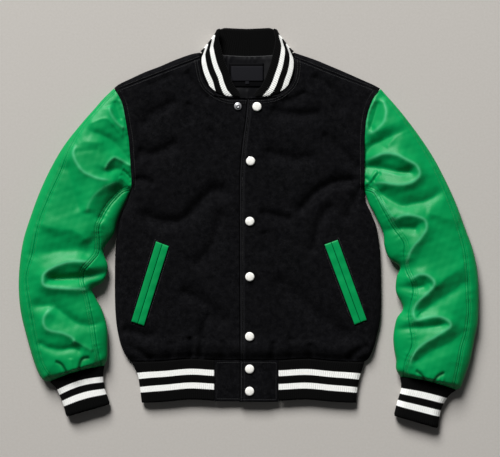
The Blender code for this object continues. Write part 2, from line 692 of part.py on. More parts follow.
# ---------------------------------------------------------------- sleeves


def make_sleeve(side):
    """Front and back of a sleeve, which meet in the seams beside its outer and inner folds."""
    into = HALF_GAP if side == "right" else -HALF_GAP
    rows = (ARMHOLE_ROWS, ARM_ROWS)
    outer_seam = cut_at(from_corner(side, OUTER_SEAM[side]), CAP_MATCH[side])
    inner_seam = curve(INNER_SEAM[side])

    cap, arm = (stitched(part, count, into) for part, count in zip(outer_seam, rows))
    hole = stitched(armhole_below(side), ARMHOLE_ROWS, -into)
    inner = stitched(inner_seam, ARM_ROWS, -into)
    tip = inset(hole[0], hole[1], cap[1])
    armpit = inset(inner[0], hole[-2], inner[1])
    shares = np.linspace(0.0, 1.0, SLEEVE_COLUMNS + 1)
    plan = stacked(
        between(ended(tip, cap), ended(tip, hole, armpit), shares),
        between(arm, ended(armpit, inner), shares),
    )
    wall(f"sleeve_front_{side}", [sheet(cuff_bowed(plan, side), side, 1)], LEATHER, "leather")

    outer_fold = cut_at(shortened(curve(SLEEVE_OUTER[side])), FOLD_MATCH[side])
    cap_fold, arm_fold = (even(part, count) for part, count in zip(outer_fold, rows))
    inner_fold = even(curve(SLEEVE_INNER[side]), ARM_ROWS)
    cap, arm = (stitched(part, count, -into) for part, count in zip(outer_seam, rows))
    cap = ended(inset(cap[0], cap_fold[0], cap[1]), cap)
    hole = ended(cap_fold[0], stitched(curve(ARMHOLE[side]), ARMHOLE_ROWS, -into), inner_fold[0])
    inner = ended(inner_fold[0], stitched(inner_seam, ARM_ROWS, into))
    across = rolled_shares(SLEEVE_WIDTH, SLEEVE_LAY["under"], SLEEVE_UNDER_COLUMNS, both=True)
    outer_strip = stacked(between(cap_fold, cap, SEAM_STRIP), between(arm_fold, arm, SEAM_STRIP))
    under = stacked(between(cap_fold, hole, across), between(arm_fold, inner_fold, across))
    inner_strip = between(inner_fold, inner, SEAM_STRIP)
    pieces = ((outer_strip, 1), (under, -1), (inner_strip, 1))
    grids = [sheet(cuff_bowed(plan, side), side, facing) for plan, facing in pieces]
    wall(f"sleeve_back_{side}", grids, LEATHER, "leather")


# ---------------------------------------------------------------- knitted bands


def band_section(first, second, lay, shares, side, crests):
    """One sheet of a flattened knitted tube: rows from its first to its second fold, ribs along it."""
    step = second - first
    width = np.linalg.norm(step, axis=1, keepdims=True)
    ahead = (step / width)[:, None]
    from_first = shares * width
    reach = np.minimum(from_first, width - from_first)
    turn = np.clip(1.0 - reach / (lay["roll"] if side > 0 else lay["under"]), 0.0, 1.0)
    rise = np.sqrt(1.0 - turn**2)
    outward = np.where(from_first < width / 2, -1.0, 1.0)[..., None] * ahead
    plan = first[:, None] + from_first[..., None] * ahead
    z = lay["fold"] + (lay["crown"] - lay["fold"]) * rise if side > 0 else lay["fold"] * (1.0 - rise)
    points = np.concatenate([plan, z[..., None]], axis=-1)
    normals = np.concatenate([outward * turn[..., None], side * rise[..., None]], axis=-1)
    raised = RIB_RELIEF * crests[None, :, None]
    return points + raised * normals, normals


def rib_crests(length):
    """A crest and a valley for each rib along so many millimetres: 1 on a crest, 0 in a valley."""
    return (np.arange(2 * int(round(length / RIB_PITCH)) + 1) % 2).astype(float)


def make_cuff(side):
    """A knitted tube, open at the hand, whose upper end follows the bowed seam."""
    outer, inner = (even(curve(CUFF_SIDES[side][k]), BAND_ROWS) for k in ("outer", "inner"))
    crests = rib_crests(np.linalg.norm(outer - inner, axis=1).mean())
    ribbed = np.linspace(0.0, 1.0, len(crests))
    flat = rolled_shares(CUFF_WIDTH, CUFF_LAY["under"], CUFF_UNDER_COLUMNS, both=True)
    above = band_section(outer, inner, CUFF_LAY, ribbed, 1, crests)
    below = band_section(outer, inner, CUFF_LAY, flat, -1, 0.0 * flat)
    bow = CUFF_SEAM_BOW * np.linspace(1.0, 0.0, BAND_ROWS)[:, None]
    for points, share in ((above[0], ribbed), (below[0], flat)):
        points[..., 1] += bow * (4 * share * (1 - share))
    wall(f"cuff_{side}", [above, below], RIB_KNIT, "rib")


def make_hem_rib():
    """One knitted band, from the right tab round the back to the left tab."""
    right, left = (even(curve(HEM_BAND_SIDES[side]), BAND_ROWS) for side in ("right", "left"))
    width = np.linalg.norm(left - right, axis=1)
    to_tab = (TAB_RIGHT_X[0] - SEAM_GAP - right[:, 0]) / width
    from_tab = (TAB_LEFT_X[1] + SEAM_GAP - right[:, 0]) / width
    down = np.linspace(0.0, 1.0, BAND_ROWS)[:, None]
    bands = []
    for low, high in ((0.0 * width, to_tab), (from_tab, 1.0 + 0.0 * width)):
        crests = rib_crests(((high - low) * width).mean())
        share = mix(low[:, None], high[:, None], np.linspace(0.0, 1.0, len(crests)))
        bands.append((band_section(right, left, HEM_LAY, share, 1, crests), share))
    share = rolled_shares(HEM_WIDTH, HEM_LAY["under"], HEM_UNDER_COLUMNS, both=True)
    bands.append((band_section(right, left, HEM_LAY, share, -1, 0.0 * share), share))
    for (points, _), share in bands:
        points[..., 1] += (1.0 - np.abs(2 * share - 1.0)) * mix(HEM_SEAM_DROP, HEM_BAND_DROP, down)
    wall("hem_rib", [band for band, _ in bands], RIB_KNIT, "rib")


def make_hem_tab(side):
    """A wool end of the hem band: the left one lies on the right one."""
    low, high = TAB_RIGHT_X if side == "right" else TAB_LEFT_X
    bottom = TAB_RIGHT_Y if side == "right" else TAB_LEFT_Y
    x = np.linspace(low + HALF_GAP, high - HALF_GAP, TAB_COLUMNS + 1)
    rows = np.linspace(0.0, 1.0, BAND_ROWS)[:, None]
    y = mix(hem_seam_y(x) - SEAM_GAP, bottom, rows)
    plan = np.stack([np.broadcast_to(x, y.shape), y], axis=-1)
    z = np.full(y.shape, HEM_LAY["crown"])
    if side == "left":
        z = z + overlap_lift(plan.reshape(-1, 2)).reshape(y.shape)
    points = np.concatenate([plan, z[..., None]], axis=-1)
    normals = np.broadcast_to(np.array([0.0, 0.0, 1.0]), points.shape)
    wall(f"hem_tab_{side}", [(points, normals)], WOOL, "wool")


# ---------------------------------------------------------------- collar


def collar_rows():
    """Sections of the collar band from the right front end to the left: sewn and free edge in
    space, and the outward normal. The band lies face up in front, turns over the side folds and
    lies face down behind the neck."""
    halves = []
    for side, lift in (("right", None), ("left", overlap_lift)):
        rows = []
        for row in COLLAR_FRONT[side]:
            at = dict(zip(COLLAR_COLUMNS, row))
            place = sheet(np.array([[at["sewn_x"], at["sewn_y"]]]), "body", 1, lift)[0][0]
            sewn = place + np.array([0.0, 0.0, COLLAR_SEAM_RISE])
            rows.append((sewn, np.array([at["free_x"], at["free_y"], at["free_z"]]), None))
        sewn_fold, free_fold = (np.array(COLLAR_FOLD[side][k], float) for k in ("sewn", "free"))
        ahead = (free_fold - sewn_fold) / np.linalg.norm(free_fold - sewn_fold)
        out = np.array([-ahead[1], ahead[0]]) * (1.0 if side == "right" else -1.0)
        tops = {"sewn": rows[-1][0][2] - COLLAR_FOLD_SINK, "free": rows[-1][1][2]}
        for turn in np.radians(COLLAR_FOLD_TURNS):
            ends = []
            for end, fold in (("sewn", sewn_fold), ("free", free_fold)):
                half = (tops[end] - COLLAR_UNDERSIDE) / 2
                plan = fold - out * COLLAR_FOLD_WIDTH[end] * (1 - math.cos(turn))
                ends.append(np.array([*plan, COLLAR_UNDERSIDE + half * (1 + math.sin(turn))]))
            rows.append((*ends, np.array([*(out * math.cos(turn)), math.sin(turn)])))
        for row in COLLAR_BACK[side]:
            at = dict(zip(COLLAR_COLUMNS, row))
            sewn = np.array([at["sewn_x"], at["sewn_y"], COLLAR_UNDERSIDE])
            free = np.array([at["free_x"], at["free_y"], at["free_z"]])
            rows.append((sewn, free, np.array([0.0, 0.0, -1.0])))
        halves.append([(s, f, np.array([0.0, 0.0, 1.0]) if n is None else n) for s, f, n in rows])
    at = dict(zip(COLLAR_COLUMNS, COLLAR_BACK_CENTRE))
    centre = (
        np.array([at["sewn_x"], at["sewn_y"], COLLAR_UNDERSIDE]),
        np.array([at["free_x"], at["free_y"], at["free_z"]]),
        np.array([0.0, 0.0, -1.0]),
    )
    return halves[0] + [centre] + halves[1][::-1]


def make_collar():
    """The band: ribbed where its outside shows, plain where it lies face down."""
    table = np.array([np.concatenate(row) for row in collar_rows()])
    middle = (table[:, 0:3] + table[:, 3:6]) / 2
    run = np.concatenate([[0.0], np.cumsum(np.linalg.norm(np.diff(middle, axis=0), axis=1))])
    face_down = run[table[:, 8] < COLLAR_FACE_DOWN]
    stations, crests = [0.0], [0.0]
    for low, high in ((0.0, face_down[0]), (face_down[0], face_down[-1]), (face_down[-1], run[-1])):
        plain = low == face_down[0]
        crest = np.zeros(COLLAR_BACK_SECTIONS) if plain else rib_crests(high - low)
        stations.extend(np.linspace(low, high, len(crest))[1:])
        crests.extend(crest[1:])
    rows = np.stack([np.interp(stations, run, column) for column in table.T], axis=1)
    sewn, free, normal = (rows[:, k : k + 3] for k in (0, 3, 6))
    normal = (normal / np.linalg.norm(normal, axis=1, keepdims=True))[:, None]
    across = np.array([0.0, 0.5, 1.0])[None, :, None]
    bulge = COLLAR_BULGE * np.clip(normal[..., 2:], 0.0, 1.0) * 4 * across * (1 - across)
    raised = bulge + RIB_RELIEF * np.array(crests)[:, None, None]
    points = sewn[:, None] + (free - sewn)[:, None] * across + raised * normal
    wall("collar", [(points, np.broadcast_to(normal, points.shape))], RIB_KNIT, "rib")


# ---------------------------------------------------------------- trims


def make_pocket(side):
    """Two leather welts side by side, lying on the front."""
    corners = np.array(POCKET_CORNERS[side], float)
    outer_top, inner_top, inner_bottom, outer_bottom = corners
    lift = overlap_lift if side == "left" else None
    middle_top, middle_bottom = (outer_top + inner_top) / 2, (outer_bottom + inner_bottom) / 2
    for name, (top_a, bottom_a), (top_b, bottom_b) in (
        ("outer", (outer_top, outer_bottom), (middle_top, middle_bottom)),
        ("inner", (inner_top, inner_bottom), (middle_top, middle_bottom)),
    ):
        width = np.linalg.norm(top_b - top_a)
        shares = np.array([0.0, 0.5, 1.0]) * (1 - WELT_SLIT / width / 2)
        edges = (even(np.array(ends), WELT_ROWS) for ends in ((top_a, bottom_a), (top_b, bottom_b)))
        points, normals = sheet(between(*edges, shares), "body", 1, lift)
        crown = np.array([0.0, WELT_CROWN, 0.0])[None, :, None]
        points = points + (SEAM_GAP + WELT_WALL + crown) * normals
        wall(f"pocket_welt_{name}_{side}", [(points, normals)], WELT_WALL, "leather")


def resting_height(place, radius, lift):
    """The highest point of the upper sheet under a round trim."""
    angles = np.linspace(0.0, 2 * math.pi, SNAP_BEARINGS, endpoint=False)
    ring = np.array(place) + radius * np.stack([np.cos(angles), np.sin(angles)], axis=1)
    return sheet(np.vstack([[place], ring]), "body", 1, lift)[0][:, 2].max()


def make_snaps():
    """Five caps down the left front, two on its hem tab, and the open stud at the neck."""
    for number, place in enumerate(CAP_PLACES, 1):
        if place[1] > HEM_SEAM_Y:
            z = resting_height(place, CAP_RADIUS, overlap_lift)
        else:
            z = HEM_LAY["crown"] + OVERLAP_LIFT
        turned(f"snap_cap_{number}", CAP_PROFILE, (*place, z + SEAM_GAP), "cap")
    z = resting_height(STUD_PLACE, STUD_RADIUS, None)
    turned("snap_stud", STUD_PROFILE, (*STUD_PLACE, z + SEAM_GAP), "stud")


def make_neck_lining():
    """Satin over the inside of the back, gathered at the neck seam, with a blank label on it."""
    columns = np.linspace(0.0, 1.0, 2 * LINING_PUCKERS + 1)
    rows = np.array(LINING_ROWS)[:, None]
    low = mix(LINING_TOP_X[0], LINING_BOTTOM_X[0], rows)
    high = mix(LINING_TOP_X[1], LINING_BOTTOM_X[1], rows)
    x = mix(low, high, columns[None, :])
    y = mix(LINING_TOP_Y, LINING_BOTTOM_Y, rows) + 0.0 * x
    floor = WOOL + SEAM_GAP + SATIN
    gathered = np.arange(len(columns)) % 2
    z = floor + LINING_PUCKER_RISE * gathered * np.clip(1 - rows / LINING_PUCKER_FADE, 0.0, 1.0)
    points = np.stack([x, y, z], axis=-1)
    up = np.broadcast_to(np.array([0.0, 0.0, 1.0]), points.shape)
    wall("back_lining", [(points, up)], SATIN, "satin")

    level = floor + LABEL_LIFT
    for name, box, finish in (
        ("label_patch", PATCH_BOX, "satin"),
        ("label_blank", LABEL_BOX, "label"),
        ("label_tag", TAG_BOX, "label"),
    ):
        if name != "label_tag":
            level += SEAM_GAP + TRIM_WALL
        x, y = (np.linspace(box[0][k], box[1][k], 3) for k in (0, 1))
        plan = np.stack(np.meshgrid(x, y), axis=-1)
        points = np.concatenate([plan, np.full((3, 3, 1), level)], axis=-1)
        up = np.broadcast_to(np.array([0.0, 0.0, 1.0]), points.shape)
        wall(name, [(points, up)], TRIM_WALL, finish)


def main():
    for old in list(bpy.data.objects):
        bpy.data.objects.remove(old, do_unlink=True)
    make_back()
    for side in ("right", "left"):
        make_front(side)
        make_sleeve(side)
        make_cuff(side)
        make_hem_tab(side)
        make_pocket(side)
    make_hem_rib()
    make_collar()
    make_snaps()
    make_neck_lining()


main()
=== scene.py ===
"""Looks of a varsity jacket laid out flat, front up: wool, leather, rib knit, sewing, trims, stage.

Row frame: +X runs to the wearer's left, +Y towards the collar, +Z up from the surface the jacket
lies on. Lengths are millimetres until a mesh is made. Every cloth piece follows the same two laid
sheets as its solid, on finer grids, and adds the creases, puckers and raised seams.
"""

import math

import bmesh
import bpy
import numpy as np
from bpy.props import FloatProperty, PointerProperty, StringProperty
from bpy.types import Operator, Panel, PropertyGroup
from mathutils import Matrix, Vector


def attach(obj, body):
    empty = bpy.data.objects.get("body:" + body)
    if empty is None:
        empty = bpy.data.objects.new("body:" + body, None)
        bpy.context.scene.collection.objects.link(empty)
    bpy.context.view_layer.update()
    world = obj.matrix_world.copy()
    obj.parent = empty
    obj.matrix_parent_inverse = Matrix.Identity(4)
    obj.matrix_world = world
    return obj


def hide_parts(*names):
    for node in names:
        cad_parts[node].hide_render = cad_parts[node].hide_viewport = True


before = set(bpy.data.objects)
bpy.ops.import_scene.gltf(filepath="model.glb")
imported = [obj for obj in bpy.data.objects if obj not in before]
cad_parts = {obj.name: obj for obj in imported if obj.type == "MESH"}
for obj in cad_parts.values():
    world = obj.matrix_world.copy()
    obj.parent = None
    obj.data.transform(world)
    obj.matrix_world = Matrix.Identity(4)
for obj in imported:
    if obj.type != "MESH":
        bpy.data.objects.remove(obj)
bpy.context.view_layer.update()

bl_info = {
    "name": "Varsity jacket",
    "version": (1, 0, 0),
    "blender": (4, 5, 0),
    "location": "3D View > Sidebar > Jacket",
    "description": "Cloth, leather, knit, sewing and stage of a varsity jacket laid out flat",
    "category": "Object",
}

MM = 0.001
BODY = "root"
SIDES = ("right", "left")
TURN = {"right": 1.0, "left": -1.0}  # 1 where a seam that runs down has the middle on its left
UP = np.array([0.0, 0.0, 1.0])
ALONG_Y = np.array([0.0, 1.0])
TINY = 1e-9

# Walls
WOOL = 2.4
LEATHER = 2.0
RIB_KNIT = 3.0
SATIN = 1.0
TRIM_WALL = 0.8
WELT_WALL = 1.8
SEAM_GAP = 0.4
HALF_GAP = SEAM_GAP / 2
CORNER_INSET = 0.9  # where three or four pieces meet, each corner is trimmed by this much

# How the laid cloth stands: height of the upper sheet, height of the fold at its edge, and the
# widths over which the upper and the lower sheet turn into that fold
BODY_LAY = {"crown": 18.0, "fold": 6.5, "roll": 26.0, "under": 8.5}
SLEEVE_LAY = {"crown": 37.0, "fold": 14.0, "roll": 56.0, "under": 18.0}
CUFF_LAY = {"crown": 19.0, "fold": 8.0, "roll": 17.0, "under": 10.0}
HEM_LAY = {"crown": 13.5, "fold": 6.5, "roll": 14.0, "under": 8.5}
SLEEVE_RISE = 75.0  # from the armhole to where the sleeve stands at its full height
CUFF_PINCH = 14.0  # the sleeve is gathered down to its cuff over this length
HEM_PINCH = 16.0
HEM_BLOUSE = (4.0, 14.0)  # height and width of the body's bulge over its rib
HEM_BLOUSE_AT = 26.0
SIDE_SEAM_FADE = (120.0, 220.0)  # front and back part in the side seam below, in no seam above
OVERLAP_LIFT = WOOL + 0.6  # the left front lies on the right one
OVERLAP_MARGIN = 10.0
OVERLAP_SLOPE = 26.0

# Grid counts of the shells
CURVE_STEP = 3.0
CURVE_SPANS = 12
SIDE_ROWS = 100
ARMHOLE_ROWS = 58
SHOULDER_ROWS = 50
CAP_ROWS = 82
ARM_ROWS = 188
FRONT_COLUMNS = 60
SLEEVE_COLUMNS = 92
UNDER_COLUMNS = 24
STRIP_COLUMNS = 24
BAND_ROWS = 20
RIB_COLUMNS = 8  # columns to a rib
COLLAR_COLUMNS_OUTER = 16
COLLAR_COLUMNS_EDGE = 7
FOLD_TURNS = 12  # columns round a fold
FRONT_WIDTH = 240.0
BACK_WIDTH = 490.0
SLEEVE_WIDTH = 150.0
EDGE_COLUMNS = (0.0, 0.5, 1.0, 1.6, 2.3, 3.0, 3.6, 4.2, 4.8, 5.5, 6.3, 7.2, 8.2, 9.4)  # from edges

# Sewing: how far each row of stitches is from its seam or edge
EDGE_STITCH = 6.6
ARMHOLE_STITCH = 7.6
SHOULDER_STITCH = 3.0
TAB_STITCH = 4.6
NECK_STITCHES = (5.5, 10.0)
SLEEVE_STITCHES = {"outer": (-3.7, 3.7), "inner": (-3.7, -7.3)}  # to the left of the right seams
STITCH_ROW_STARTS = {"armhole": 2, "shoulder": 4, "neck": 2, "sleeve": 3}  # points left out

# Grooves and ridges along a line: height and width
SEAM_DIP = (-1.2, 1.7)
SEAM_PUCKER = (0.35, 9.0)
STITCH_DIP = (-0.5, 0.9)
LEATHER_DIP = (-0.9, 1.15)
NECK_DIP = (-0.8, 1.8)
TAB_DIP = (-0.5, 1.4)
SLEEVE_CAP_DIP = (-1.4, 2.6)
SLEEVE_CAP_PUCKER = (0.2, 8.0)
FRAME_RIDGE = (0.7, 2.2)
HEM_GATHER = (0.55, 17.0)
CUFF_GATHER = (0.8, 17.0)

# Raised edges: height, where they start to fall off, and over what distance
ARMHOLE_EDGE = (1.0, ARMHOLE_STITCH - 1.0, 2.4)
PLACKET_EDGE = (0.5, EDGE_STITCH - 0.8, 1.8)
NECK_EDGE = (0.6, NECK_STITCHES[1], 2.0)

# Waves along a seam: their length, the swing and the length of their wander, and the length over
# which they swell, all for one radian. Puckers have instead how many radians run along the seam,
# and how many more along one of the next seed
HEM_WAVES = (3.1, 1.4, 11.0, 17.0)
LINING_WAVES = (1.9, 1.5, 7.0, 9.0)
CUFF_WAVES = (1 / 52, 1.6, 1 / 19, 1 / 27)  # lengths as shares of the seam
SLEEVE_CAP_WAVE = 1 / 118
PUCKER_WAVES = {"count": 150, "more": 9, "swing": 2.0, "wander": 61}
SHOULDER_SEED = 3
GATHER_SWELL = 0.4
HEM_GATHERED_FROM = 40.0  # from the jacket's middle

# Unevenness of each cloth: size, height and seed of each layer
UNEVEN_WAVES = 6
UNEVEN_LENGTHS = 0.37  # how much longer one of three waves is than the one before
UNEVEN_PHASES = (1.7, 1.3)  # by seed, and by the square of a wave's number
GOLDEN_ANGLE = 2.399963
UNEVEN = {
    "body": ((62.0, 0.35, 1.0), (21.0, 0.16, 4.0)),
    "sleeve": ((34.0, 0.4, 2.0), (13.0, 0.15, 5.0)),
    "tab": ((30.0, 0.2, 7.0),),
    "lining": ((23.0, 0.25, 3.0),),
}

# Plan outlines, each a curve through (x, y) points. "right" and "left" are the wearer's.
SHOULDER_FOLD = {
    "right": ((-93, 334), (-109, 331), (-140, 320), (-168, 308), (-197, 297), (-223, 285),
              (-246, 274), (-256, 266)),
    "left": ((87, 334), (102, 329), (128, 320), (157, 308), (183, 297), (210, 285),
             (236, 273.5), (251, 265.5)),
}
SHOULDER_WRAP = 6.0  # how far down the armhole the back reaches over the shoulder
SHOULDER_SEAM = {"right": ((-168, 294), (-92, 323)), "left": ((170, 290), (87, 323))}
ARMHOLE = {
    "right": ((-256, 266), (-246, 251), (-239, 236), (-235, 217), (-231, 194), (-227, 168),
              (-225, 141), (-223, 111), (-222, 88), (-223, 73)),
    "left": ((251, 265.5), (239, 251), (232, 238), (226, 221), (222, 198), (220, 168),
             (220, 139), (220, 111), (220, 88), (220, 73)),
}
BODY_SIDE = {
    "right": ((-223, 73), (-230, 50), (-238, 35), (-244, 21), (-248, 4), (-252, -28), (-254, -68),
              (-254, -136), (-252, -174), (-248, -201), (-242, -224), (-233, -243), (-224, -253)),
    "left": ((220, 73), (224, 48), (232, 32), (237, 19), (244, 0), (250, -41), (252, -98),
             (252, -155), (249, -184), (244, -205), (238, -228), (229, -247), (221, -253)),
}
FRONT_EDGE = {
    "right": ((21, -250), (21, -22), (20, 69), (15, 149), (7, 206), (2, 247)),
    "left": ((-17, -250), (-18, -3), (-18, 92), (-14, 152), (-7, 206), (-3, 247)),
}
NECKLINE = {
    "right": ((2, 247), (-16, 247), (-35, 247), (-52, 252), (-66, 260), (-77, 270), (-84, 282),
              (-88, 297), (-91, 312), (-92, 323)),
    "left": ((-3, 247), (20, 247), (39, 249), (56, 254), (69, 263), (80, 274), (86, 289), (88, 308),
             (87, 323)),
}
BACK_NECKLINE_DIP = 6.5
DIP_POWER = 3
SLEEVE_OUTER = {
    "right": ((-256, 266), (-276, 246), (-294, 224.5), (-314, 202), (-349, 158), (-375, 114),
              (-396, 69), (-413, 23), (-427, -22), (-434, -68), (-436, -114), (-432, -159),
              (-421, -205), (-408, -250), (-398, -276), (-388, -289), (-377, -291)),
    "left": ((251, 265.5), (283, 228), (318, 183), (349, 137), (373, 92), (394, 46), (411, 0),
             (427, -45), (436, -98), (436, -171), (430, -205), (421, -250),
             (409.5, -284), (402, -302), (394, -307)),
}
SLEEVE_INNER = {
    "right": ((-224, 72), (-235, 48), (-243, 31), (-250, 12), (-256, -11), (-272, -34), (-275, -47),
              (-267, -70), (-269, -87), (-277, -103), (-296, -115), (-290, -132), (-277, -157),
              (-268, -190), (-267, -228), (-268, -247), (-274, -261)),
    "left": ((221, 72), (229, 46), (238, 30), (246, 12), (256, -11), (258, -34), (267, -57),
             (287, -74), (281, -93), (280, -121), (293, -151), (281, -172), (275, -203),
             (276, -228), (280, -250), (280, -267), (288, -282)),
}
OUTER_SEAM = {
    "right": ((-273, 243), (-290, 223), (-314, 194), (-337, 154), (-354, 109), (-375, 63),
              (-396, 10), (-408, -47), (-418, -81), (-420, -104), (-415, -136), (-409, -172),
              (-400, -220), (-389, -260), (-369, -288.7)),
    "left": ((265, 243), (290, 213), (320, 171), (339, 139), (356, 107), (375, 63), (392, 18),
             (408, -39), (414, -95), (415, -127), (416, -157), (411, -197), (402, -228),
             (396, -262), (387, -305.3)),
}
INNER_SEAM = {
    "right": ((-224, 72), (-240, 66), (-263, 40), (-278, 12), (-282, -5), (-281, -24), (-283, -47),
              (-295, -64), (-310, -82), (-312, -98), (-306, -117), (-300, -142), (-292, -182),
              (-286, -220), (-281, -247), (-280, -263)),
    "left": ((221, 72), (238, 65), (252, 37), (269, 6), (283, -13), (293, -30), (293, -55),
             (297, -79), (305, -98), (311, -117), (306, -142), (301, -165), (306, -193),
             (308, -220), (298, -245), (293, -266), (295, -283.6)),
}
CUFF_SEAM_BOW = 5.0  # the cuff seam bows towards the elbow
CUFF_SEAM_BOW_OVER = 60.0
CAP_MATCH = {"right": (-337, 154), "left": (333, 150)}  # on the outer seam, across from the armpit
FOLD_MATCH = {"right": (-347, 162), "left": (343, 146)}  # the same on the outer fold
CUFF_SIDES = {
    "right": {
        "outer": ((-377, -292.2), (-364, -307), (-352, -336), (-346, -358)),
        "inner": ((-274, -262.2), (-276, -279), (-273, -304), (-263, -334)),
    },
    "left": {
        "outer": ((394, -308.2), (380, -319), (366, -345), (360, -380)),
        "inner": ((288, -283.2), (290, -304), (282, -332), (276, -356)),
    },
}
HEM_BAND_SIDES = {
    "right": ((-223, -253.9), (-218, -262), (-210, -279), (-206, -305), (-203, -331.3)),
    "left": ((221, -253.9), (218, -262), (212, -279), (207, -305), (205, -331.3)),
}

# Hem band and front tabs
HEM_SEAM_Y = -250.3
HEM_SEAM_DROP = 3.2  # lower at the side folds than at the front
HEM_SIDE_X = 222.0
HEM_BAND_DROP = 4.2
HEM_BOW = 4.2  # each half of the band bows up this much beside the tabs
HEM_BOW_AT = 110.0
HEM_BOW_WIDTH = 40.0
HEM_SAG = 3.5  # the band's middle rows hang lower at the side folds
HEM_LEVEL_OVER = 60.0
HEM_SAG_POWER = 12
TAB = {"right": (-64.6, 20.5, -328.4), "left": (-17.3, 56.8, -329.4)}  # from x, to x, down to y

# Stripes of each band, from its free or lower edge
COLLAR_STRIPES = ((15.0, 24.3), (36.3, 46.0))
CUFF_STRIPES = ((20.5, 31.8), (44.5, 55.6))
CUFF_LENGTH = 76.0  # that the stripes are spaced over
CUFF_BOW = {"right": 3.3, "left": -1.8}  # its middle rows bow up by this much more than its seam
HEM_STRIPES = ((21.6, 32.9), (48.3, 60.0))

# Snaps, each a profile of (radius, height) from its base up
CAP_RADIUS = 8.6
CAP_PROFILE = (
    (8.0, 0.0), (8.45, 0.35), (8.6, 0.8), (8.5, 1.4), (8.2, 2.0), (7.8, 2.4), (7.3, 2.7),
    (6.5, 3.0), (5.2, 3.25), (3.8, 3.42), (2.2, 3.55), (0.9, 3.6), (0.0, 3.6),
)
STUD_RADIUS = 7.2
STUD_PROFILE = (
    (7.0, 0.0), (7.2, 0.4), (7.0, 0.9), (5.6, 1.1), (4.4, 1.0), (3.7, 1.3), (3.4, 2.0), (3.5, 2.9),
    (3.1, 3.4), (2.3, 3.45), (1.8, 3.1), (1.5, 1.9), (0.0, 1.7),
)
SNAP_SIDES = 40
SNAP_BEARINGS = 12

# Collar band, a row per section: x and y of its sewn edge, then x, y and z of its free edge
COLLAR_FRONT = {
    "right": ((-18, 248.4, -14.5, 252, 18.0), (-34.6, 249.2, -20, 261, 18.5),
              (-50.8, 253.8, -28, 270, 19.5), (-65, 261.3, -34.5, 285, 20.0),
              (-75.8, 271, -39, 301, 20.5), (-82.6, 282.6, -44, 312, 21.0),
              (-87, 297, -48.5, 325, 21.5), (-89.8, 312, -52.5, 341, 21.5),
              (-90.4, 322, -56.5, 356, 20.5)),
    "left": ((15, 248.4, 9, 252, 20.9), (37.6, 250.4, 16, 260, 20.4), (54.4, 255.4, 25, 270, 20.0),
             (67.8, 264, 32.5, 285, 20.0), (78.6, 275, 38, 301, 20.5),
             (84.4, 289.5, 42.5, 314, 21.0), (86.4, 303, 46, 328, 21.5),
             (86.6, 314, 49.5, 343, 21.5), (85.6, 323, 52, 357, 20.5)),
}
COLLAR_FOLD = {
    "right": {"sewn": (-91, 336.5), "free": (-60, 377)},
    "left": {"sewn": (86, 336.5), "free": (54, 377)},
}
COLLAR_FOLD_TURNS = (90, 60, 25, -10, -50, -90)  # degrees, from facing up to facing down
COLLAR_FOLD_WIDTH = {"sewn": 3.6, "free": 7.0}
COLLAR_BACK = {
    "right": ((-66, 332.0, -46, 381.0, 2.2), (-40, 329.8, -28, 380.0, 2.4)),
    "left": ((61, 332.0, 40, 381.0, 2.2), (34, 329.8, 22, 380.0, 2.4)),
}
COLLAR_BACK_CENTRE = (-3, 328.4, -3, 379.0, 2.4)
COLLAR_UNDERSIDE = 0.3  # the back of the band lies this far off the surface
COLLAR_BULGE = 1.6
COLLAR_FOLD_SAG = 4.0  # the side fold is this hollow halfway along it
COLLAR_SEAM_RISE = 0.2
COLLAR_FOLD_SINK = 1.0  # the side fold starts this far below the sewn edge in front

# Pockets, snaps, lining and label
POCKET_CORNERS = {
    "right": ((-175, -25), (-151, -34), (-198, -185), (-222, -177)),
    "left": ((169, -22), (144, -31), (201, -183), (224, -174)),
}
CAP_PLACES = ((16, 230), (4, 127), (2.5, 13), (2.5, -92), (2.1, -205), (2.1, -267), (2.1, -309))
STUD_PLACE = (-20, 231)
LINING_TOP_X = (-78, 72)
LINING_TOP_Y = 328.0
LINING_TOP_BOW = 3.6  # its top edge follows the collar's seam, this much higher at LINING_BOW_AT
LINING_BOTTOM_X = (-66, 60)
LINING_BOTTOM_Y = 222.0
PATCH_BOX = ((-37, 269), (29, 314))
LABEL_BOX = ((-33, 280), (28, 308))
TAG_BOX = ((-6, 274), (1, 279.4))
LABEL_LIFT = 0.4

# Largest and smaller folds, each a soft stroke along a path: its widths on the left and on the
# right of the path's direction, and its rise, or sinking where that is negative. The last value of
# a sharp fold in leather is painted light: a highlight along its crest, shade in a tight crease if
# negative
FOLD_COLUMNS = ("path", "left_width", "right_width", "rise", "painted_light")
# Width across a sharp fold's crest of its painted highlight, and of its painted shade in a crease
CREST_WIDTH = 2.6
FOLD_STEP = 4.0
FOLD_REACH = 2.6
FOLD_FADE = 0.14
FOLD_POWER = 1.7
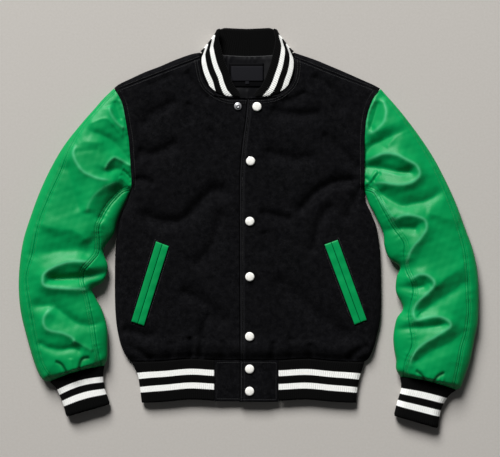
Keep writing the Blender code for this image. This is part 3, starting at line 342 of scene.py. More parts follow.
# Painted shade and highlight across the left front's edge: distance from it, width and painted
# light
EDGE_PAINTED_LIGHT = ((0.6, 1.6, -1.0), (3.2, 1.2, 0.7), (EDGE_STITCH, 1.1, -0.8), (8.6, 1.2, 0.5))
LIP_FROM = 1.9  # a ridge this many times steeper on one side has a lip
LIP = (0.7, 3.0)  # its height and width
FOLDS = {
    "right": (
        (((-265, 234), (-259, 215), (-248, 199), (-237, 191), (-231, 193)), 5, 10.5, 3.5, 0.5),
        (((-253, 243), (-248, 222), (-241, 203)), 6, 6, -2),
        (((-246, 247), (-238, 229), (-232, 205)), 4, 4, 1.5, 0.4),
        (((-305, 195), (-271, 207), (-253, 193), (-234, 169)), 20, 10, 1.5),
        (((-312, 189), (-292, 180), (-275, 174), (-256, 163), (-234, 138), (-219, 116)),
          8, 16, -4.5),
        (((-327, 158), (-304, 163), (-271, 161)), 8, 6, 1.5),
        (((-328, 146), (-304, 146), (-280, 149)), 6, 6, -1.2),
        (((-272, 106), (-266, 121), (-259, 130), (-252, 134), (-241, 129), (-226, 121),
          (-211, 116)), 14, 7, 4.5, 0.6),
        (((-269, 107), (-250, 112), (-238, 107), (-224, 94), (-211, 83)), 7, 7, -4),
        (((-321, 168), (-327, 153), (-330, 140), (-324, 123), (-312, 107), (-296, 98), (-277, 92),
          (-256, 90), (-234, 85)), 14, 20, 4),
        (((-324, 161), (-329, 148), (-330, 139), (-324, 124), (-312, 108), (-296, 99), (-278, 93),
          (-258, 91)), 3.5, 4.5, 1.2, 0.8),
        (((-347, 128), (-336, 94), (-328, 61), (-315, 28)), 11, 11, -3.5),
        (((-243, 89), (-269, 79), (-288, 64), (-300, 46), (-305, 25)), 11, 17.5, 4, 0.3),
        (((-235, 83), (-257, 56), (-273, 30), (-282, 8)), 9, 9, -6.5),
        (((-402, 12), (-361, 0), (-325, -5), (-297, -30)), 22, 12, 5),
        (((-424, -50), (-382, -45), (-349, -41), (-316, -42), (-293, -56)), 15, 12, -4.5),
        (((-284, -65), (-315, -62), (-335, -63), (-354, -68), (-372, -76), (-385, -87), (-387, -97),
          (-385, -106), (-372, -111), (-347, -113), (-319, -114), (-284, -115)), 12, 11.5, 7, 1.0),
        (((-384, -95), (-347, -96), (-302, -91), (-248, -80)), 9, 8, -10),
        (((-421, -146), (-372, -148), (-349, -161), (-330, -176), (-305, -183), (-259, -172)),
          12, 10, -6),
        (((-363, -144), (-382, -162), (-386, -176), (-382, -187), (-372, -193), (-354, -196),
          (-340, -201), (-329, -209), (-327, -226)), 12.5, 9, 4.5, 0.8),
        (((-332, -209), (-316, -218), (-291, -232)), 5, 5, 2, 0.15),
        (((-402, -213), (-376, -226), (-353, -229), (-330, -227), (-309, -234)), 8, 8, -4.5),
        (((-366, -250), (-351, -258), (-340, -277)), 3, 3, -2.5, -0.8),
        (((-297, -244), (-314, -248), (-321, -273)), 3, 3, -2.5, -0.8),
        (((-334, -244), (-334, -254), (-332, -273)), 5, 5, 1.5),
        (((-282, -232), (-284, -245), (-286, -265)), 4, 4, -1.5),
        (((-243, 103), (-233, 95), (-223, 83)), 3, 3, -2.5),
        (((-239, 112), (-230, 102), (-223, 93)), 2.5, 2.5, -2),
        (((-245, 98), (-234, 89), (-224, 77)), 3, 3, 1.5),
    ),
    "left": (
        (((243, 249), (230, 225), (225, 206), (224, 182)), 3.5, 3.5, 2, 0.5),
        (((248, 243), (240, 218), (230, 184)), 5, 5, -3),
        (((252, 251), (258, 234), (260, 219), (255, 201), (246, 190), (236, 182), (220, 178)),
          14, 7.5, 4, 0.6),
        (((307, 218), (284, 203), (261, 193), (235, 180)), 9, 14, 3),
        (((309, 189), (276, 176), (253, 165), (232, 154), (215, 135), (205, 123)), 9, 9, -5),
        (((307, 187), (276, 171), (259, 149)), 5, 8, 2),
        (((218, 126), (238, 135), (251, 140), (266, 141), (282, 137), (299, 128), (315, 119),
          (321, 109), (322, 102), (317, 93), (303, 85), (287, 82), (272, 83), (255, 86), (242, 85),
          (234, 75)), 11.5, 11, 7, 0.9),
        (((209, 118), (243, 115), (269, 109), (295, 105), (317, 105)), 9, 9, -6.5),
        (((246, 110), (269, 103), (288, 99), (312, 102)), 4, 4, 1.5, 0.3),
        (((245, 111), (235, 98), (230, 89), (218, 81)), 3, 3, 2),
        (((250, 106), (241, 96), (237, 87)), 3, 3, -2.5),
        (((220, 98), (234, 83)), 3, 3, -2),
        (((234, 79), (238, 67), (249, 52), (262, 34), (276, 14)), 7, 8, 3.5, 0.6),
        (((239, 75), (269, 53), (291, 43), (314, 47), (340, 54), (376, 77)), 12, 9, -6),
        (((261, 8), (284, 22), (301, 25), (318, 22), (331, 16), (335, 6), (333, -5), (321, -22),
          (310, -35), (301, -54), (297, -78)), 12.5, 10, 6, 0.8),
        (((243, -9), (272, -2), (299, 0), (325, -3)), 8.5, 8.5, -5.5),
        (((332, 31), (368, 21), (403, 10)), 16, 9, 3),
        (((291, -99), (311, -92), (321, -87), (335, -88), (347, -97), (349, -106), (343, -116),
          (328, -130), (315, -144), (310, -157), (313, -169), (325, -174)), 11.5, 10, 6, 0.9),
        (((253, -112), (293, -112), (317, -112), (342, -109)), 8.5, 8.5, -5.5),
        (((419, -95), (378, -125), (351, -140), (328, -159), (316, -174)), 14, 13, -5),
        (((415, -67), (374, -90), (347, -115)), 9, 16, 3.5),
        (((299, -177), (319, -173), (333, -169), (353, -166), (367, -169), (378, -176), (380, -185),
          (367, -194), (348, -206), (328, -218), (315, -231), (307, -245), (305, -265)),
          10.5, 9.5, 5.5, 0.9),
        (((257, -192), (303, -189), (340, -186), (376, -183)), 8, 8, -5),
        (((415, -192), (378, -217), (347, -232), (321, -248), (307, -262)), 13, 11, -4.2),
        (((314, -267), (327, -277), (336, -296)), 3, 3, -2.5, -0.8),
        (((372, -271), (355, -281), (344, -303)), 3, 3, -2.5, -0.8),
        (((297, -258), (299, -269), (299, -288)), 4, 4, -1.5),
    ),
    "body": (
        (((-215, 148), (-186, 141), (-160, 149), (-130, 166)), 11, 14, -7),
        (((-217, 95), (-196, 91), (-177, 80)), 7, 8, -5.5),
        (((-212, 38), (-176, 15), (-134, 12), (-111, 27), (-84, 56), (-63, 71), (-27, 58)),
          14, 13, -9.5),
        (((-80, 190), (-52, 162), (-30, 128)), 10, 10, -3.5),
        (((-118, 302), (-108, 281), (-92, 262), (-70, 238)), 7, 8, -4),
        (((-134, 244), (-165, 226), (-191, 210), (-203, 186)), 11, 11, -5.5),
        (((-110, 240), (-115, 222), (-110, 194)), 9, 9, -4),
        (((-138, 293), (-165, 281), (-198, 268)), 8, 8, -3.5),
        (((-47, 42), (-69, -34), (-111, -79)), 12, 12, -6),
        (((-134, -114), (-77, -148), (-39, -190)), 12, 12, -7),
        (((-113, -203), (-108, -226), (-109, -250)), 5, 5, -7.5),
        (((-84, -203), (-90, -226), (-90, -250)), 5, 5, -7.5),
        (((-73, -159), (-83, -186), (-94, -212)), 8, 8, -5.5),
        (((-237, -220), (-206, -235), (-180, -254)), 8, 8, -6),
        (((-244, -190), (-206, -201), (-172, -205)), 10, 10, -5.5),
        (((-50, -209), (-47, -231), (-48, -254)), 6, 6, -3.5),
        (((-149, -212), (-147, -231), (-149, -254)), 7, 7, -4),
        (((217, 90), (190, 90), (160, 85), (126, 65), (100, 36), (82, 26)), 9, 11, -9),
        (((216, 84), (198, 44), (183, 10)), 7, 9, -5.5),
        (((162, 50), (136, 12), (128, -24), (120, -53)), 9, 11, -7),
        (((138, 184), (165, 158), (192, 130), (213, 104)), 9, 10, -6),
        (((26, 150), (60, 137), (100, 132), (130, 136)), 12, 14, -6),
        (((18, 31), (50, 24), (88, 16)), 8, 11, -5.5),
        (((118, 292), (148, 274), (171, 252), (180, 213)), 11, 11, -4.5),
        (((60, 238), (85, 246), (114, 260)), 6, 8, -4),
        (((37, 226), (90, 215), (147, 217)), 12, 13, -7),
        (((45, -87), (128, -159), (204, -224)), 15, 15, -7.5),
        (((29, -3), (33, -26), (29, -53)), 10, 10, -3.5),
        (((45, -212), (47, -231), (45, -254)), 7, 7, -4.5),
        (((79, -205), (81, -231), (83, -254)), 7, 7, -4.5),
        (((117, -216), (119, -235), (117, -254)), 7, 7, -4),
        (((231, -220), (204, -235), (185, -254)), 8, 8, -6),
    ),
}

# Trims, counts and places
POCKET_FRAME_AT = 4.4
POCKET_FRAME_STITCH = 3.2
WELT_END_POWER = 0.2
WELT_WAVE = (0.15, 1 / 41)  # its height, and its length for one radian as a share of the welt
WELT_SLIT = 0.7
WELT_CROWN = 0.7
WELT_ROWS = 80
WELT_COLUMNS = 13
TAB_COLUMNS = 51
TAB_STITCH_POINTS = 120
SNAP_GAP = 0.3
LINING_GATHER = 0.9
LINING_GATHER_REACH = 13.0
LINING_SEAM = 9.0  # the gathers come up over this distance from the neck seam
LINING_BOW_AT = 60.0  # from the middle
LINING_LIFT = 0.25
PLEAT = {"x": -2.0, "height": 1.6, "width": 4.0, "top": 268.0, "over": 10.0}
LINING_COLUMNS = 160
LINING_GRID_ROWS = 50
LABEL_COLUMNS = 21
LABEL_SWELL = 0.3
KNIT_ROW = 1.5
EDGE_ROUND = 1.6
WELD = 0.00001  # metres: points this near to each other are one
COLLAR_SMOOTH = 21
COLLAR_INNER_RELIEF = 0.8
COLLAR_BARE = 200.0  # added to the cloth coordinate of the inner face, which has no stripes
STITCH_SIDES = 6
STITCH_RINGS = ((-1.0, 0.35, 0.9), (-0.55, 1.0, 0.0), (0.55, 1.0, 0.0), (1.0, 0.35, 0.9))
STITCH_SHARE = 0.8
STITCH_SINK = 0.25

# What the materials show, sizes in millimetres: fibres, clouds and lumps by the size of their
# noise, reliefs by their depth
WOOL_FIBRE, WOOL_MOTTLE, WOOL_LUMP = 1.3, 10.0, 5.0
WOOL_DEPTH, WOOL_LUMP_DEPTH = 0.25, 0.3
LEATHER_CLOUD, LEATHER_GLOSS, LEATHER_PEBBLE, LEATHER_SWELL = 60.0, 3.0, 1.6, 7.0
PEBBLE_DEPTH, SWELL_DEPTH = 0.05, 0.12
YARN_FUZZ, LOOP_DEPTH, LOOP_WANDER, STRIPE_SOFT = 1.0, 0.18, 0.25, 0.3
SATIN_THREAD, SATIN_DEPTH = 0.8, 0.05
TAPE_THREAD, TAPE_DEPTH = 0.6, 0.08
PEARL_CLOUD = 3.0
FLOOR_MOTTLE = 4.0
# Stretches of a noise or wave, and then what they are spread over, unless it is 0 to 1
CLOUD_SPAN = (0.3, 0.7)
FIBRE_SPAN = (0.35, 0.8)
MOTTLE_SPAN = (0.3, 0.75, 0.15, 1.0)
GLOSS_SPAN = (0.2, 0.8, 0.41, 0.47)
PEBBLE_SPAN = (0.0, 0.25)
FUZZ_SPAN = (0.3, 0.8, 0.85, 1.0)
LOOP_SPAN = (-1.0, 1.0, 0.86, 1.0)
FLOOR_SPAN = (0.2, 0.8)
PAINTED_HIGHLIGHT_FULL = 1.3  # the painted light at which leather takes its full painted crest highlight
# Painted shade on the wool along the left front's edge
PAINTED_EDGE_SHADE = "#000000"
# Painted highlight on leather fold crests, and painted shade in tight leather creases
PAINTED_CREST_HIGHLIGHT = "#46a272"
PAINTED_CREASE_SHADE = "#00230f"
# Painted shade on a stripe between its rows of loops
PAINTED_LOOP_SHADE = "#c8c8c4"
PEARL_SHADE = "#d9d7d0"
NICKEL = "#b2b2b4"
FLOOR_SHADE = "#a8a49e"
SKY = "#dfe3e8"
PATCH, TAPE = "#030304", "#17171a"
BLACK_THREAD, GREEN_THREAD = "#101011", "#067a3d"

# Stage: lamps as name, place and size in metres, and power in watts
LIGHTS = (
    ("key", (-3.0, 9.0, 6.2), 4.8, 2820.0),
    ("fill", (7.2, -6.6, 4.8), 7.8, 60.0),
)
WORLD_STRENGTH = 0.05
FLOOR_SIZE = 9000.0
FLOOR_LEVEL = -0.3
CAMERA_DISTANCE = 3000.0
CAMERA_WIDTH = 950.0
CAMERA_LEVEL = 10.0
CAMERA_CENTRE = (2.85, -0.5)
CAMERA_CLIP = (0.1, 20.0)  # metres
SENSOR_WIDTH = 36.0


# ---- curves in plan


def ease(value):
    """0 below 0, 1 above 1, smooth between."""
    value = np.clip(value, 0.0, 1.0)
    return value * value * (3.0 - 2.0 * value)


def mix(low, high, share):
    return low + (high - low) * share


def bell(away, width):
    """The bell curve exp(-(away / width)^2)."""
    return np.exp(-((away / width) ** 2))


def hump(share):
    """The parabola 4 s (1 - s): 0 at both ends and 1 halfway."""
    return 4 * share * (1 - share)


def evenly(count):
    """So many even shares from 0 to 1."""
    return np.linspace(0.0, 1.0, count)


def unit(vectors):
    """The vectors at length 1."""
    return vectors / np.maximum(np.linalg.norm(vectors, axis=-1, keepdims=True), TINY)


def run_along(line):
    """How far along a line each of its points is from its start."""
    return np.concatenate([[0.0], np.cumsum(np.linalg.norm(np.diff(line, axis=0), axis=1))])


def at_places(places, run, rows):
    """The rows that stand at the places in run, interpolated at other places."""
    return np.stack([np.interp(places, run, column) for column in rows.T], axis=1)


def even(line, count):
    """The polyline again, with this many points evenly along it."""
    run = run_along(line)
    return at_places(np.linspace(0.0, run[-1], count), run, line)


def curve(points, step=CURVE_STEP):
    """A Catmull-Rom curve through the points, with a point every step."""
    points = np.array(points, float)
    padded = np.vstack([2 * points[0] - points[1], points, 2 * points[-1] - points[-2]])
    a, b, c, d = padded[:-3, None], padded[1:-2, None], padded[2:-1, None], padded[3:, None]
    t = np.linspace(0.0, 1.0, CURVE_SPANS, endpoint=False)[None, :, None]
    bent = (2 * a - 5 * b + 4 * c - d) * t**2 + (3 * b - a - 3 * c + d) * t**3
    spans = 0.5 * (2 * b + (c - a) * t + bent)
    line = np.vstack([spans.reshape(-1, points.shape[1]), points[-1]])
    return even(line, max(3, int(math.ceil(run_along(line)[-1] / step)) + 1))


def nearest(xy, line):
    """Distance from each point to a polyline, positive on the left of its direction, and the
    place along it as a share."""
    start, step = line[:-1], np.diff(line, axis=0)
    gap = xy[:, None] - start
    along = np.clip((gap * step).sum(-1) / np.maximum((step**2).sum(-1), TINY), 0.0, 1.0)
    off = gap - along[..., None] * step
    far = np.hypot(off[..., 0], off[..., 1])
    span = far.argmin(axis=1)
    rows = np.arange(len(xy))
    way, ahead = off[rows, span], step[span]
    turn = np.where(ahead[:, 0] * way[:, 1] - ahead[:, 1] * way[:, 0] < 0.0, -1.0, 1.0)
    return turn * far[rows, span], (span + along[rows, span]) / len(step)


def off(xy, line):
    """Distance from each point to a polyline."""
    return np.abs(nearest(xy, line)[0])


def shifted(line, amount):
    """The curve moved sideways, to the left of its own direction."""
    ahead = unit(np.gradient(line, axis=0))
    return line + amount * np.stack([-ahead[:, 1], ahead[:, 0]], axis=1)


def cut_at(line, place):
    """The curve in two, at its point nearest to a place."""
    k = int(np.linalg.norm(line - np.array(place, float), axis=1).argmin())
    return line[: k + 1], line[k:]


def shortened(line):
    """The curve without its first CORNER_INSET."""
    return np.vstack([line[0] + (line[1] - line[0]) * CORNER_INSET / CURVE_STEP, line[1:]])


def stitched(line, rows, away=0.0):
    """So many points evenly along a seam, then moved from it, to the left of its direction."""
    return shifted(even(line, rows), away)


def ended(first, line, last=None):
    """The line with another first point and, if one is given, another last point."""
    return np.vstack([[first], line[1:]] if last is None else [[first], line[1:-1], [last]])


def armhole_below(side):
    """The armhole in front, from the shoulder seam and the sleeve's outer seam to the armpit."""
    return curve(ARMHOLE[side])[int(round(SHOULDER_WRAP / CURVE_STEP)) :]


def from_corner(side, points):
    """A seam that starts on the armhole in front."""
    return curve(np.vstack([armhole_below(side)[0], points]))


def cuff_seam(side):
    """The straight line across a wrist, from the outer to the inner fold."""
    return np.array([CUFF_SIDES[side][k][0] for k in ("outer", "inner")], float)


def sleeve_seams(side):
    """A sleeve's two seams, from the armhole down."""
    return {"outer": from_corner(side, OUTER_SEAM[side]), "inner": curve(INNER_SEAM[side])}


# ---- the two laid sheets


EDGES = {
    "body": [curve(table[side]) for side in SIDES for table in (SHOULDER_FOLD, BODY_SIDE)],
    **{side: [curve(SLEEVE_OUTER[side]), curve(SLEEVE_INNER[side])] for side in SIDES},
}


def hem_bow(x):
    """How far the hem band and the seam above it bow up at each x."""
    return HEM_BOW * bell(np.abs(x) - HEM_BOW_AT, HEM_BOW_WIDTH)


def hem_seam_y(x):
    return HEM_SEAM_Y - HEM_SEAM_DROP * np.abs(x) / HEM_SIDE_X + hem_bow(x)


def uneven(xy, cloth):
    """A cloth's soft unevenness. Each layer is its height times the mean of sine waves of nearly
    one length that run in directions a golden angle apart, each with its own phase."""
    total = np.zeros(len(xy))
    for size, rise, seed in UNEVEN[cloth]:
        for k in range(UNEVEN_WAVES):
            angle = GOLDEN_ANGLE * k + seed
            length = size * (1.0 + UNEVEN_LENGTHS * (k % 3))
            run = xy[:, 0] * math.cos(angle) + xy[:, 1] * math.sin(angle)
            phase = UNEVEN_PHASES[0] * seed + UNEVEN_PHASES[1] * k * k
            wave = np.sin(2 * math.pi * run / length + phase)
            total += rise * wave / math.sqrt(UNEVEN_WAVES)
    return total


def gathers(run, length, swing, wander, swell):
    """Gathers of uneven width and depth along a seam, between -1 and 1: sin(r / length +
    swing sin(r / wander)), whose height swells and shrinks by GATHER_SWELL with sin(r / swell)."""
    wave = np.sin(run / length + swing * np.sin(run / wander))
    return wave * (1.0 - GATHER_SWELL + GATHER_SWELL * np.sin(run / swell))


def ridge(far, size, at=0.0):
    """A ridge, or a groove where its height is negative: a bell curve across a line."""
    return size[0] * bell(far - at, size[1])


def raised(far, edge):
    """An edge that stands proud by its height and falls off, smoothly, away from its line."""
    rise, at, over = edge
    return rise * (1.0 - ease((far - at) / over))


def coming(along):
    """How far a fold has come up at each share of its path: it comes and goes at its ends."""
    return ease(along / FOLD_FADE) * ease((1.0 - along) / FOLD_FADE)


def folds(xy, region):
    """Sum of the soft strokes at each point: the rise times exp(-(distance / width)^1.7), where
    the width differs between a stroke's two sides, coming and going at its ends. A ridge with one
    steep side has a thin lip along its crest."""
    total = np.zeros(len(xy))
    strength = bpy.context.scene.jacket_looks.fold_strength
    for path, left, right, rise, *_ in FOLDS[region]:
        line = curve(path, FOLD_STEP)
        reach = FOLD_REACH * max(left, right)
        near = ((xy > line.min(axis=0) - reach) & (xy < line.max(axis=0) + reach)).all(axis=1)
        if not near.any():
            continue
        far, along = nearest(xy[near], line)
        width = np.where(far > 0.0, left, right)
        fade = coming(along)
        total[near] += strength * rise * fade * np.exp(-np.abs(far / width) ** FOLD_POWER)
        if rise > 0 and max(left, right) > LIP_FROM * min(left, right):
            total[near] += fade * ridge(far, LIP)
    return total


def painted_fold_light(xy, region):
    """The painted light on the leather at each point: the painted highlight where positive and the
    painted shade where negative of each sharp fold, times a bell curve across its crest, coming and
    going at its ends."""
    total = np.zeros(len(xy))
    for path, *_, painted_light in (fold for fold in FOLDS[region] if len(fold) == len(FOLD_COLUMNS)):
        far, along = nearest(xy, curve(path, FOLD_STEP))
        total += coming(along) * ridge(far, (painted_light, CREST_WIDTH))
    return total


def stance(xy, region):
    """How the cloth stands at each point: crown, fold, roll and under, as in the lays above, and
    gap, by which the upper and the lower sheet part at the fold."""
    keys = ("crown", "fold", "roll", "under")
    if region == "body":
        lay = {k: np.full(len(xy), BODY_LAY[k]) for k in keys}
        above = xy[:, 1] - hem_seam_y(xy[:, 0])
        lay["crown"] = mix(HEM_LAY["crown"], lay["crown"], ease(above / HEM_PINCH))
        lay["crown"] += ridge(above, HEM_BLOUSE, HEM_BLOUSE_AT)
        seamless = ease((xy[:, 1] - SIDE_SEAM_FADE[0]) / (SIDE_SEAM_FADE[1] - SIDE_SEAM_FADE[0]))
        return {**lay, "gap": HALF_GAP * (1.0 - seamless)}
    rise = ease(off(xy, curve(ARMHOLE[region])) / SLEEVE_RISE)
    end = ease(off(xy, cuff_seam(region)) / CUFF_PINCH)
    lay = {k: mix(CUFF_LAY[k], mix(BODY_LAY[k], SLEEVE_LAY[k], rise), end) for k in keys}
    return {**lay, "gap": np.zeros(len(xy))}


def overlap_lift(xy):
    """How far the left front is raised where the right front lies under it."""
    edge = curve(FRONT_EDGE["right"])
    past = xy[:, 0] - np.interp(xy[:, 1], edge[:, 1], edge[:, 0])
    return OVERLAP_LIFT * (1.0 - ease((past - OVERLAP_MARGIN) / OVERLAP_SLOPE))


def seam_relief(far, share, seed):
    """A seam from one side: a groove, and small puckers along it, sine waves whose phase wanders
    by another sine wave, that fade with the distance."""
    waves = PUCKER_WAVES
    wander = waves["swing"] * np.sin(share * waves["wander"] + seed)
    along = np.sin(share * (waves["count"] + waves["more"] * seed) + wander)
    return ridge(far, SEAM_DIP) + along * ridge(far, SEAM_PUCKER)


def body_relief(side):
    """What the sewing of one front adds: raised edges with their stitches, seams, the pocket's
    frame and the gathers over the hem."""
    armhole, shoulder = armhole_below(side), from_corner(side, SHOULDER_SEAM[side])
    edge, neck = curve(FRONT_EDGE[side]), curve(NECKLINE[side])
    frame_line = pocket_frame(side, POCKET_FRAME_AT)

    def relief(xy):
        from_hole, from_edge, from_neck = (off(xy, line) for line in (armhole, edge, neck))
        x, above = xy[:, 0], xy[:, 1] - hem_seam_y(xy[:, 0])
        gathered = ease((np.abs(x) - HEM_GATHERED_FROM) / HEM_GATHERED_FROM)
        total = uneven(xy, "body")
        total += raised(from_hole, ARMHOLE_EDGE) + ridge(from_hole, STITCH_DIP, ARMHOLE_STITCH)
        total += seam_relief(*map(np.abs, nearest(xy, shoulder)), SHOULDER_SEED)
        total += raised(from_edge, PLACKET_EDGE) + ridge(from_edge, STITCH_DIP, EDGE_STITCH)
        total += raised(from_neck, NECK_EDGE) + ridge(from_neck, NECK_DIP)
        total += ridge(off(xy, frame_line), FRAME_RIDGE)
        total += gathered * gathers(x, *HEM_WAVES) * ridge(above, HEM_GATHER)
        return total + (overlap_lift(xy) if side == "left" else 0.0)

    return relief


def sleeve_relief(side):
    """What the sewing of one sleeve adds: seam grooves, rows of stitches beside them, puckers."""
    armhole, wrist = armhole_below(side), cuff_seam(side)

    def relief(xy):
        total = uneven(xy, "sleeve")
        for seed, (which, line) in enumerate(sleeve_seams(side).items(), 1):
            far, share = nearest(xy, line)
            total += seam_relief(far, share, seed)
            for at in SLEEVE_STITCHES[which]:
                total += ridge(far, LEATHER_DIP, at * TURN[side])
        far, share = map(np.abs, nearest(xy, armhole))
        puckers = np.sin(share / SLEEVE_CAP_WAVE) * ridge(far, SLEEVE_CAP_PUCKER)
        total += ridge(far, SLEEVE_CAP_DIP) + puckers
        far, share = map(np.abs, nearest(xy, wrist))
        return total + gathers(share, *CUFF_WAVES) * ridge(far, CUFF_GATHER)

    return relief


def height(xy, region, facing, relief=None):
    """Height of the upper (facing 1) or lower (facing -1) sheet's outer face over plan points.

    turn is 1 on the fold and 0 where the sheet lies free of it, and the section between is a
    quarter of an ellipse.
    """
    reach = np.min([off(xy, line) for line in EDGES[region]], axis=0)
    lay = stance(xy, region)
    turn = np.clip(1.0 - reach / (lay["roll"] if facing > 0 else lay["under"]), 0.0, 1.0)
    rise = np.sqrt(1.0 - turn**2)
    low = lay["fold"] + facing * lay["gap"]
    if facing < 0:
        return low * (1.0 - rise)
    top = lay["crown"] + folds(xy, region) + (relief(xy) if relief else 0.0)
    return low + (top - low) * rise


def risen(plan, z):
    """A grid of plan points with their heights."""
    return np.concatenate([plan, z.reshape(*plan.shape[:2], 1)], axis=-1)


def sheet(plan, region, facing, relief=None):
    """A grid of points on a laid sheet, over a plan grid."""
    return risen(plan, height(plan.reshape(-1, 2), region, facing, relief))


def on_sheet(line, region, relief=None):
    """Points of the upper sheet over a plan line, and the normals there."""
    falls = [
        (height(line - step, region, 1, relief) - height(line + step, region, 1, relief)) / 2.0
        for step in np.eye(2)
    ]
    normals = unit(np.column_stack([*falls, np.ones(len(line))]))
    return np.column_stack([line, height(line, region, 1, relief)]), normals


# ---- plan grids


def between(first, second, shares, dip=0.0):
    """A plan grid whose rows run from one line to the other; the last row dips by so much, and
    those above it less, by a power of their share."""
    shares = np.asarray(shares, float)[None, :, None]
    grid = first[:, None] + (second - first)[:, None] * shares
    sag = hump(shares) * evenly(len(first))[:, None, None] ** DIP_POWER
    return grid - dip * sag * ALONG_Y


def stacked(*grids):
    """Grids one above the other, whose last and first rows are the same."""
    return np.concatenate([grids[0]] + [g[1:] for g in grids[1:]])


def turns(roll):
    """Distances from a fold at which columns stand, even round its quarter ellipse."""
    return roll * (1 - np.cos(np.linspace(0.0, math.pi / 2, FOLD_TURNS + 1)))


def graded(width, first, last, count):
    """Shares across a width: at the given distances from its start and end, and count between."""
    first, last = np.asarray(first) / width, 1.0 - np.asarray(last)[::-1] / width
    return np.concatenate([first, np.linspace(first[-1], last[0], count + 2)[1:-1], last])


def beneath(width, lay):
    """Shares at which the columns of a lower sheet stand: closer where it turns into its folds."""
    edges = turns(lay["under"])
    return graded(width, edges, edges, UNDER_COLUMNS)


def cuff_bowed(xy, side):
    """Plan points of a sleeve, moved so that its end follows the bowed cuff seam."""
    line = cuff_seam(side)
    step = line[1] - line[0]
    share = np.clip(((xy - line[0]) * step).sum(-1) / (step**2).sum(), 0.0, 1.0)
    away = off(xy.reshape(-1, 2), line).reshape(share.shape)
    bow = CUFF_SEAM_BOW * hump(share) * (1 - ease(away / CUFF_SEAM_BOW_OVER))
    return xy + bow[..., None] * ALONG_Y


def at_hem(xy, middle_rise=0.0):
    """Plan points of the body, moved so that its lowest row follows the bowed hem seam."""
    x, above = xy[..., 0], xy[..., 1] - hem_seam_y(xy[..., 0])
    rise = middle_rise * np.clip(1 - np.abs(x) / HEM_SIDE_X, 0.0, 1.0) + hem_bow(x)
    return xy + (rise * (1 - ease(above / HEM_LEVEL_OVER)))[..., None] * ALONG_Y


def pocket_frame(side, away):
    """A closed line round the pair of welts, this far outside them."""
    corners = np.array(POCKET_CORNERS[side], float)
    along = unit(corners[3] + corners[2] - corners[0] - corners[1])
    across = np.array([-along[1], along[0]])
    out = np.sign((corners - corners.mean(axis=0)) @ np.stack([along, across], axis=1))
    grown = corners + away * (out[:, :1] * along + out[:, 1:] * across)
    return np.vstack([grown, grown[:1]])


def tab_box(side, inset=0.0):
    """The line down, across and up a hem tab, this far inside its edges."""
    low, high, bottom = TAB[side]
    low, high, bottom, top = low + inset, high - inset, bottom + inset, HEM_SEAM_Y - inset
    return np.array([(low, top), (low, bottom), (high, bottom), (high, top)])


# ---- meshes


def placed(name, data):
    """An object of the scene."""
    made = bpy.data.objects.new(name, data)
    bpy.context.scene.collection.objects.link(made)
    return made


def finish(name, mesh, key, node=None):
    """Puts a mesh in the scene as a piece of the jacket, with its finish and its CAD node."""
    material, slot = FINISHES[key][:2]
    mesh.shade_smooth()
    mesh.materials.append(material())
    made = placed(name, mesh)
    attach(made, BODY)
    if node:
        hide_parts(node)
    return made


def mesh_of(name, grids):
    """One mesh of several grids. A grid is its points, the side it faces, as a vector or as points
    of the same grid, and perhaps its cloth coordinates in millimetres. Shared edges are merged."""
    places, faces, cloths, count = [], [], [], 0
    for points, facing, *cloth in grids:
        rows, columns = points.shape[:2]
        index = np.arange(rows * columns).reshape(rows, columns) + count
        down, across = np.diff(points, axis=0)[:, :-1], np.diff(points, axis=1)[:-1]
        if (np.cross(across, down) * facing).sum() < 0:
            index = index[:, ::-1]
        corners = (index[:-1, :-1], index[:-1, 1:], index[1:, 1:], index[1:, :-1])
        faces.append(np.stack(corners, axis=-1).reshape(-1, 4))
        places.append(points.reshape(-1, 3))
        cloths.append((cloth[0] if cloth else points[..., :2]).reshape(-1, 2))
        count += rows * columns
    faces = np.concatenate(faces)
    mesh = bpy.data.meshes.new(name)
    mesh.from_pydata(np.concatenate(places) * MM, [], faces)
    layer = mesh.uv_layers.new(name="cloth")
    layer.data.foreach_set("uv", (np.concatenate(cloths)[faces.reshape(-1)] * MM).reshape(-1))
    build = bmesh.new()
    build.from_mesh(mesh)
    bmesh.ops.remove_doubles(build, verts=build.verts, dist=WELD)
    bmesh.ops.dissolve_degenerate(build, edges=build.edges, dist=WELD)
    build.to_mesh(mesh)
    build.free()
    return mesh


def shell(name, grids, key, node):
    """A cloth piece: the grids are its outer face, and its wall lies on their inner side."""
    made = finish(name, mesh_of(name, grids), key, node)
    solid = made.modifiers.new("wall", "SOLIDIFY")
    solid.thickness = FINISHES[key][2] * MM
    solid.offset = -1.0
    solid.use_rim = True
    return made


def mark_painted_light(made, painted_light):
    """Gives a piece the crest attribute from which its material paints light and shade: a painted
    highlight where it is positive and a painted shade where it is negative, at its plan points."""
    places = np.empty(len(made.data.vertices) * 3, np.float32)
    made.data.vertices.foreach_get("co", places)
    layer = made.data.attributes.new("crest", "FLOAT", "POINT")
    layer.data.foreach_set("value", painted_light(places.reshape(-1, 3)[:, :2] / MM))
    return made


def painted_edge_light(xy):
    """Painted light along the left front's edge: painted shade at the edge and at its row of
    stitches, and painted highlight beside each, a sum of bell curves across it."""
    edge = np.vstack([tab_box("left")[1:2], curve(FRONT_EDGE["left"])])
    far = off(xy, edge)
    return sum(ridge(far, (painted_light, width), at) for at, width, painted_light in EDGE_PAINTED_LIGHT)


# ---- the cut pieces


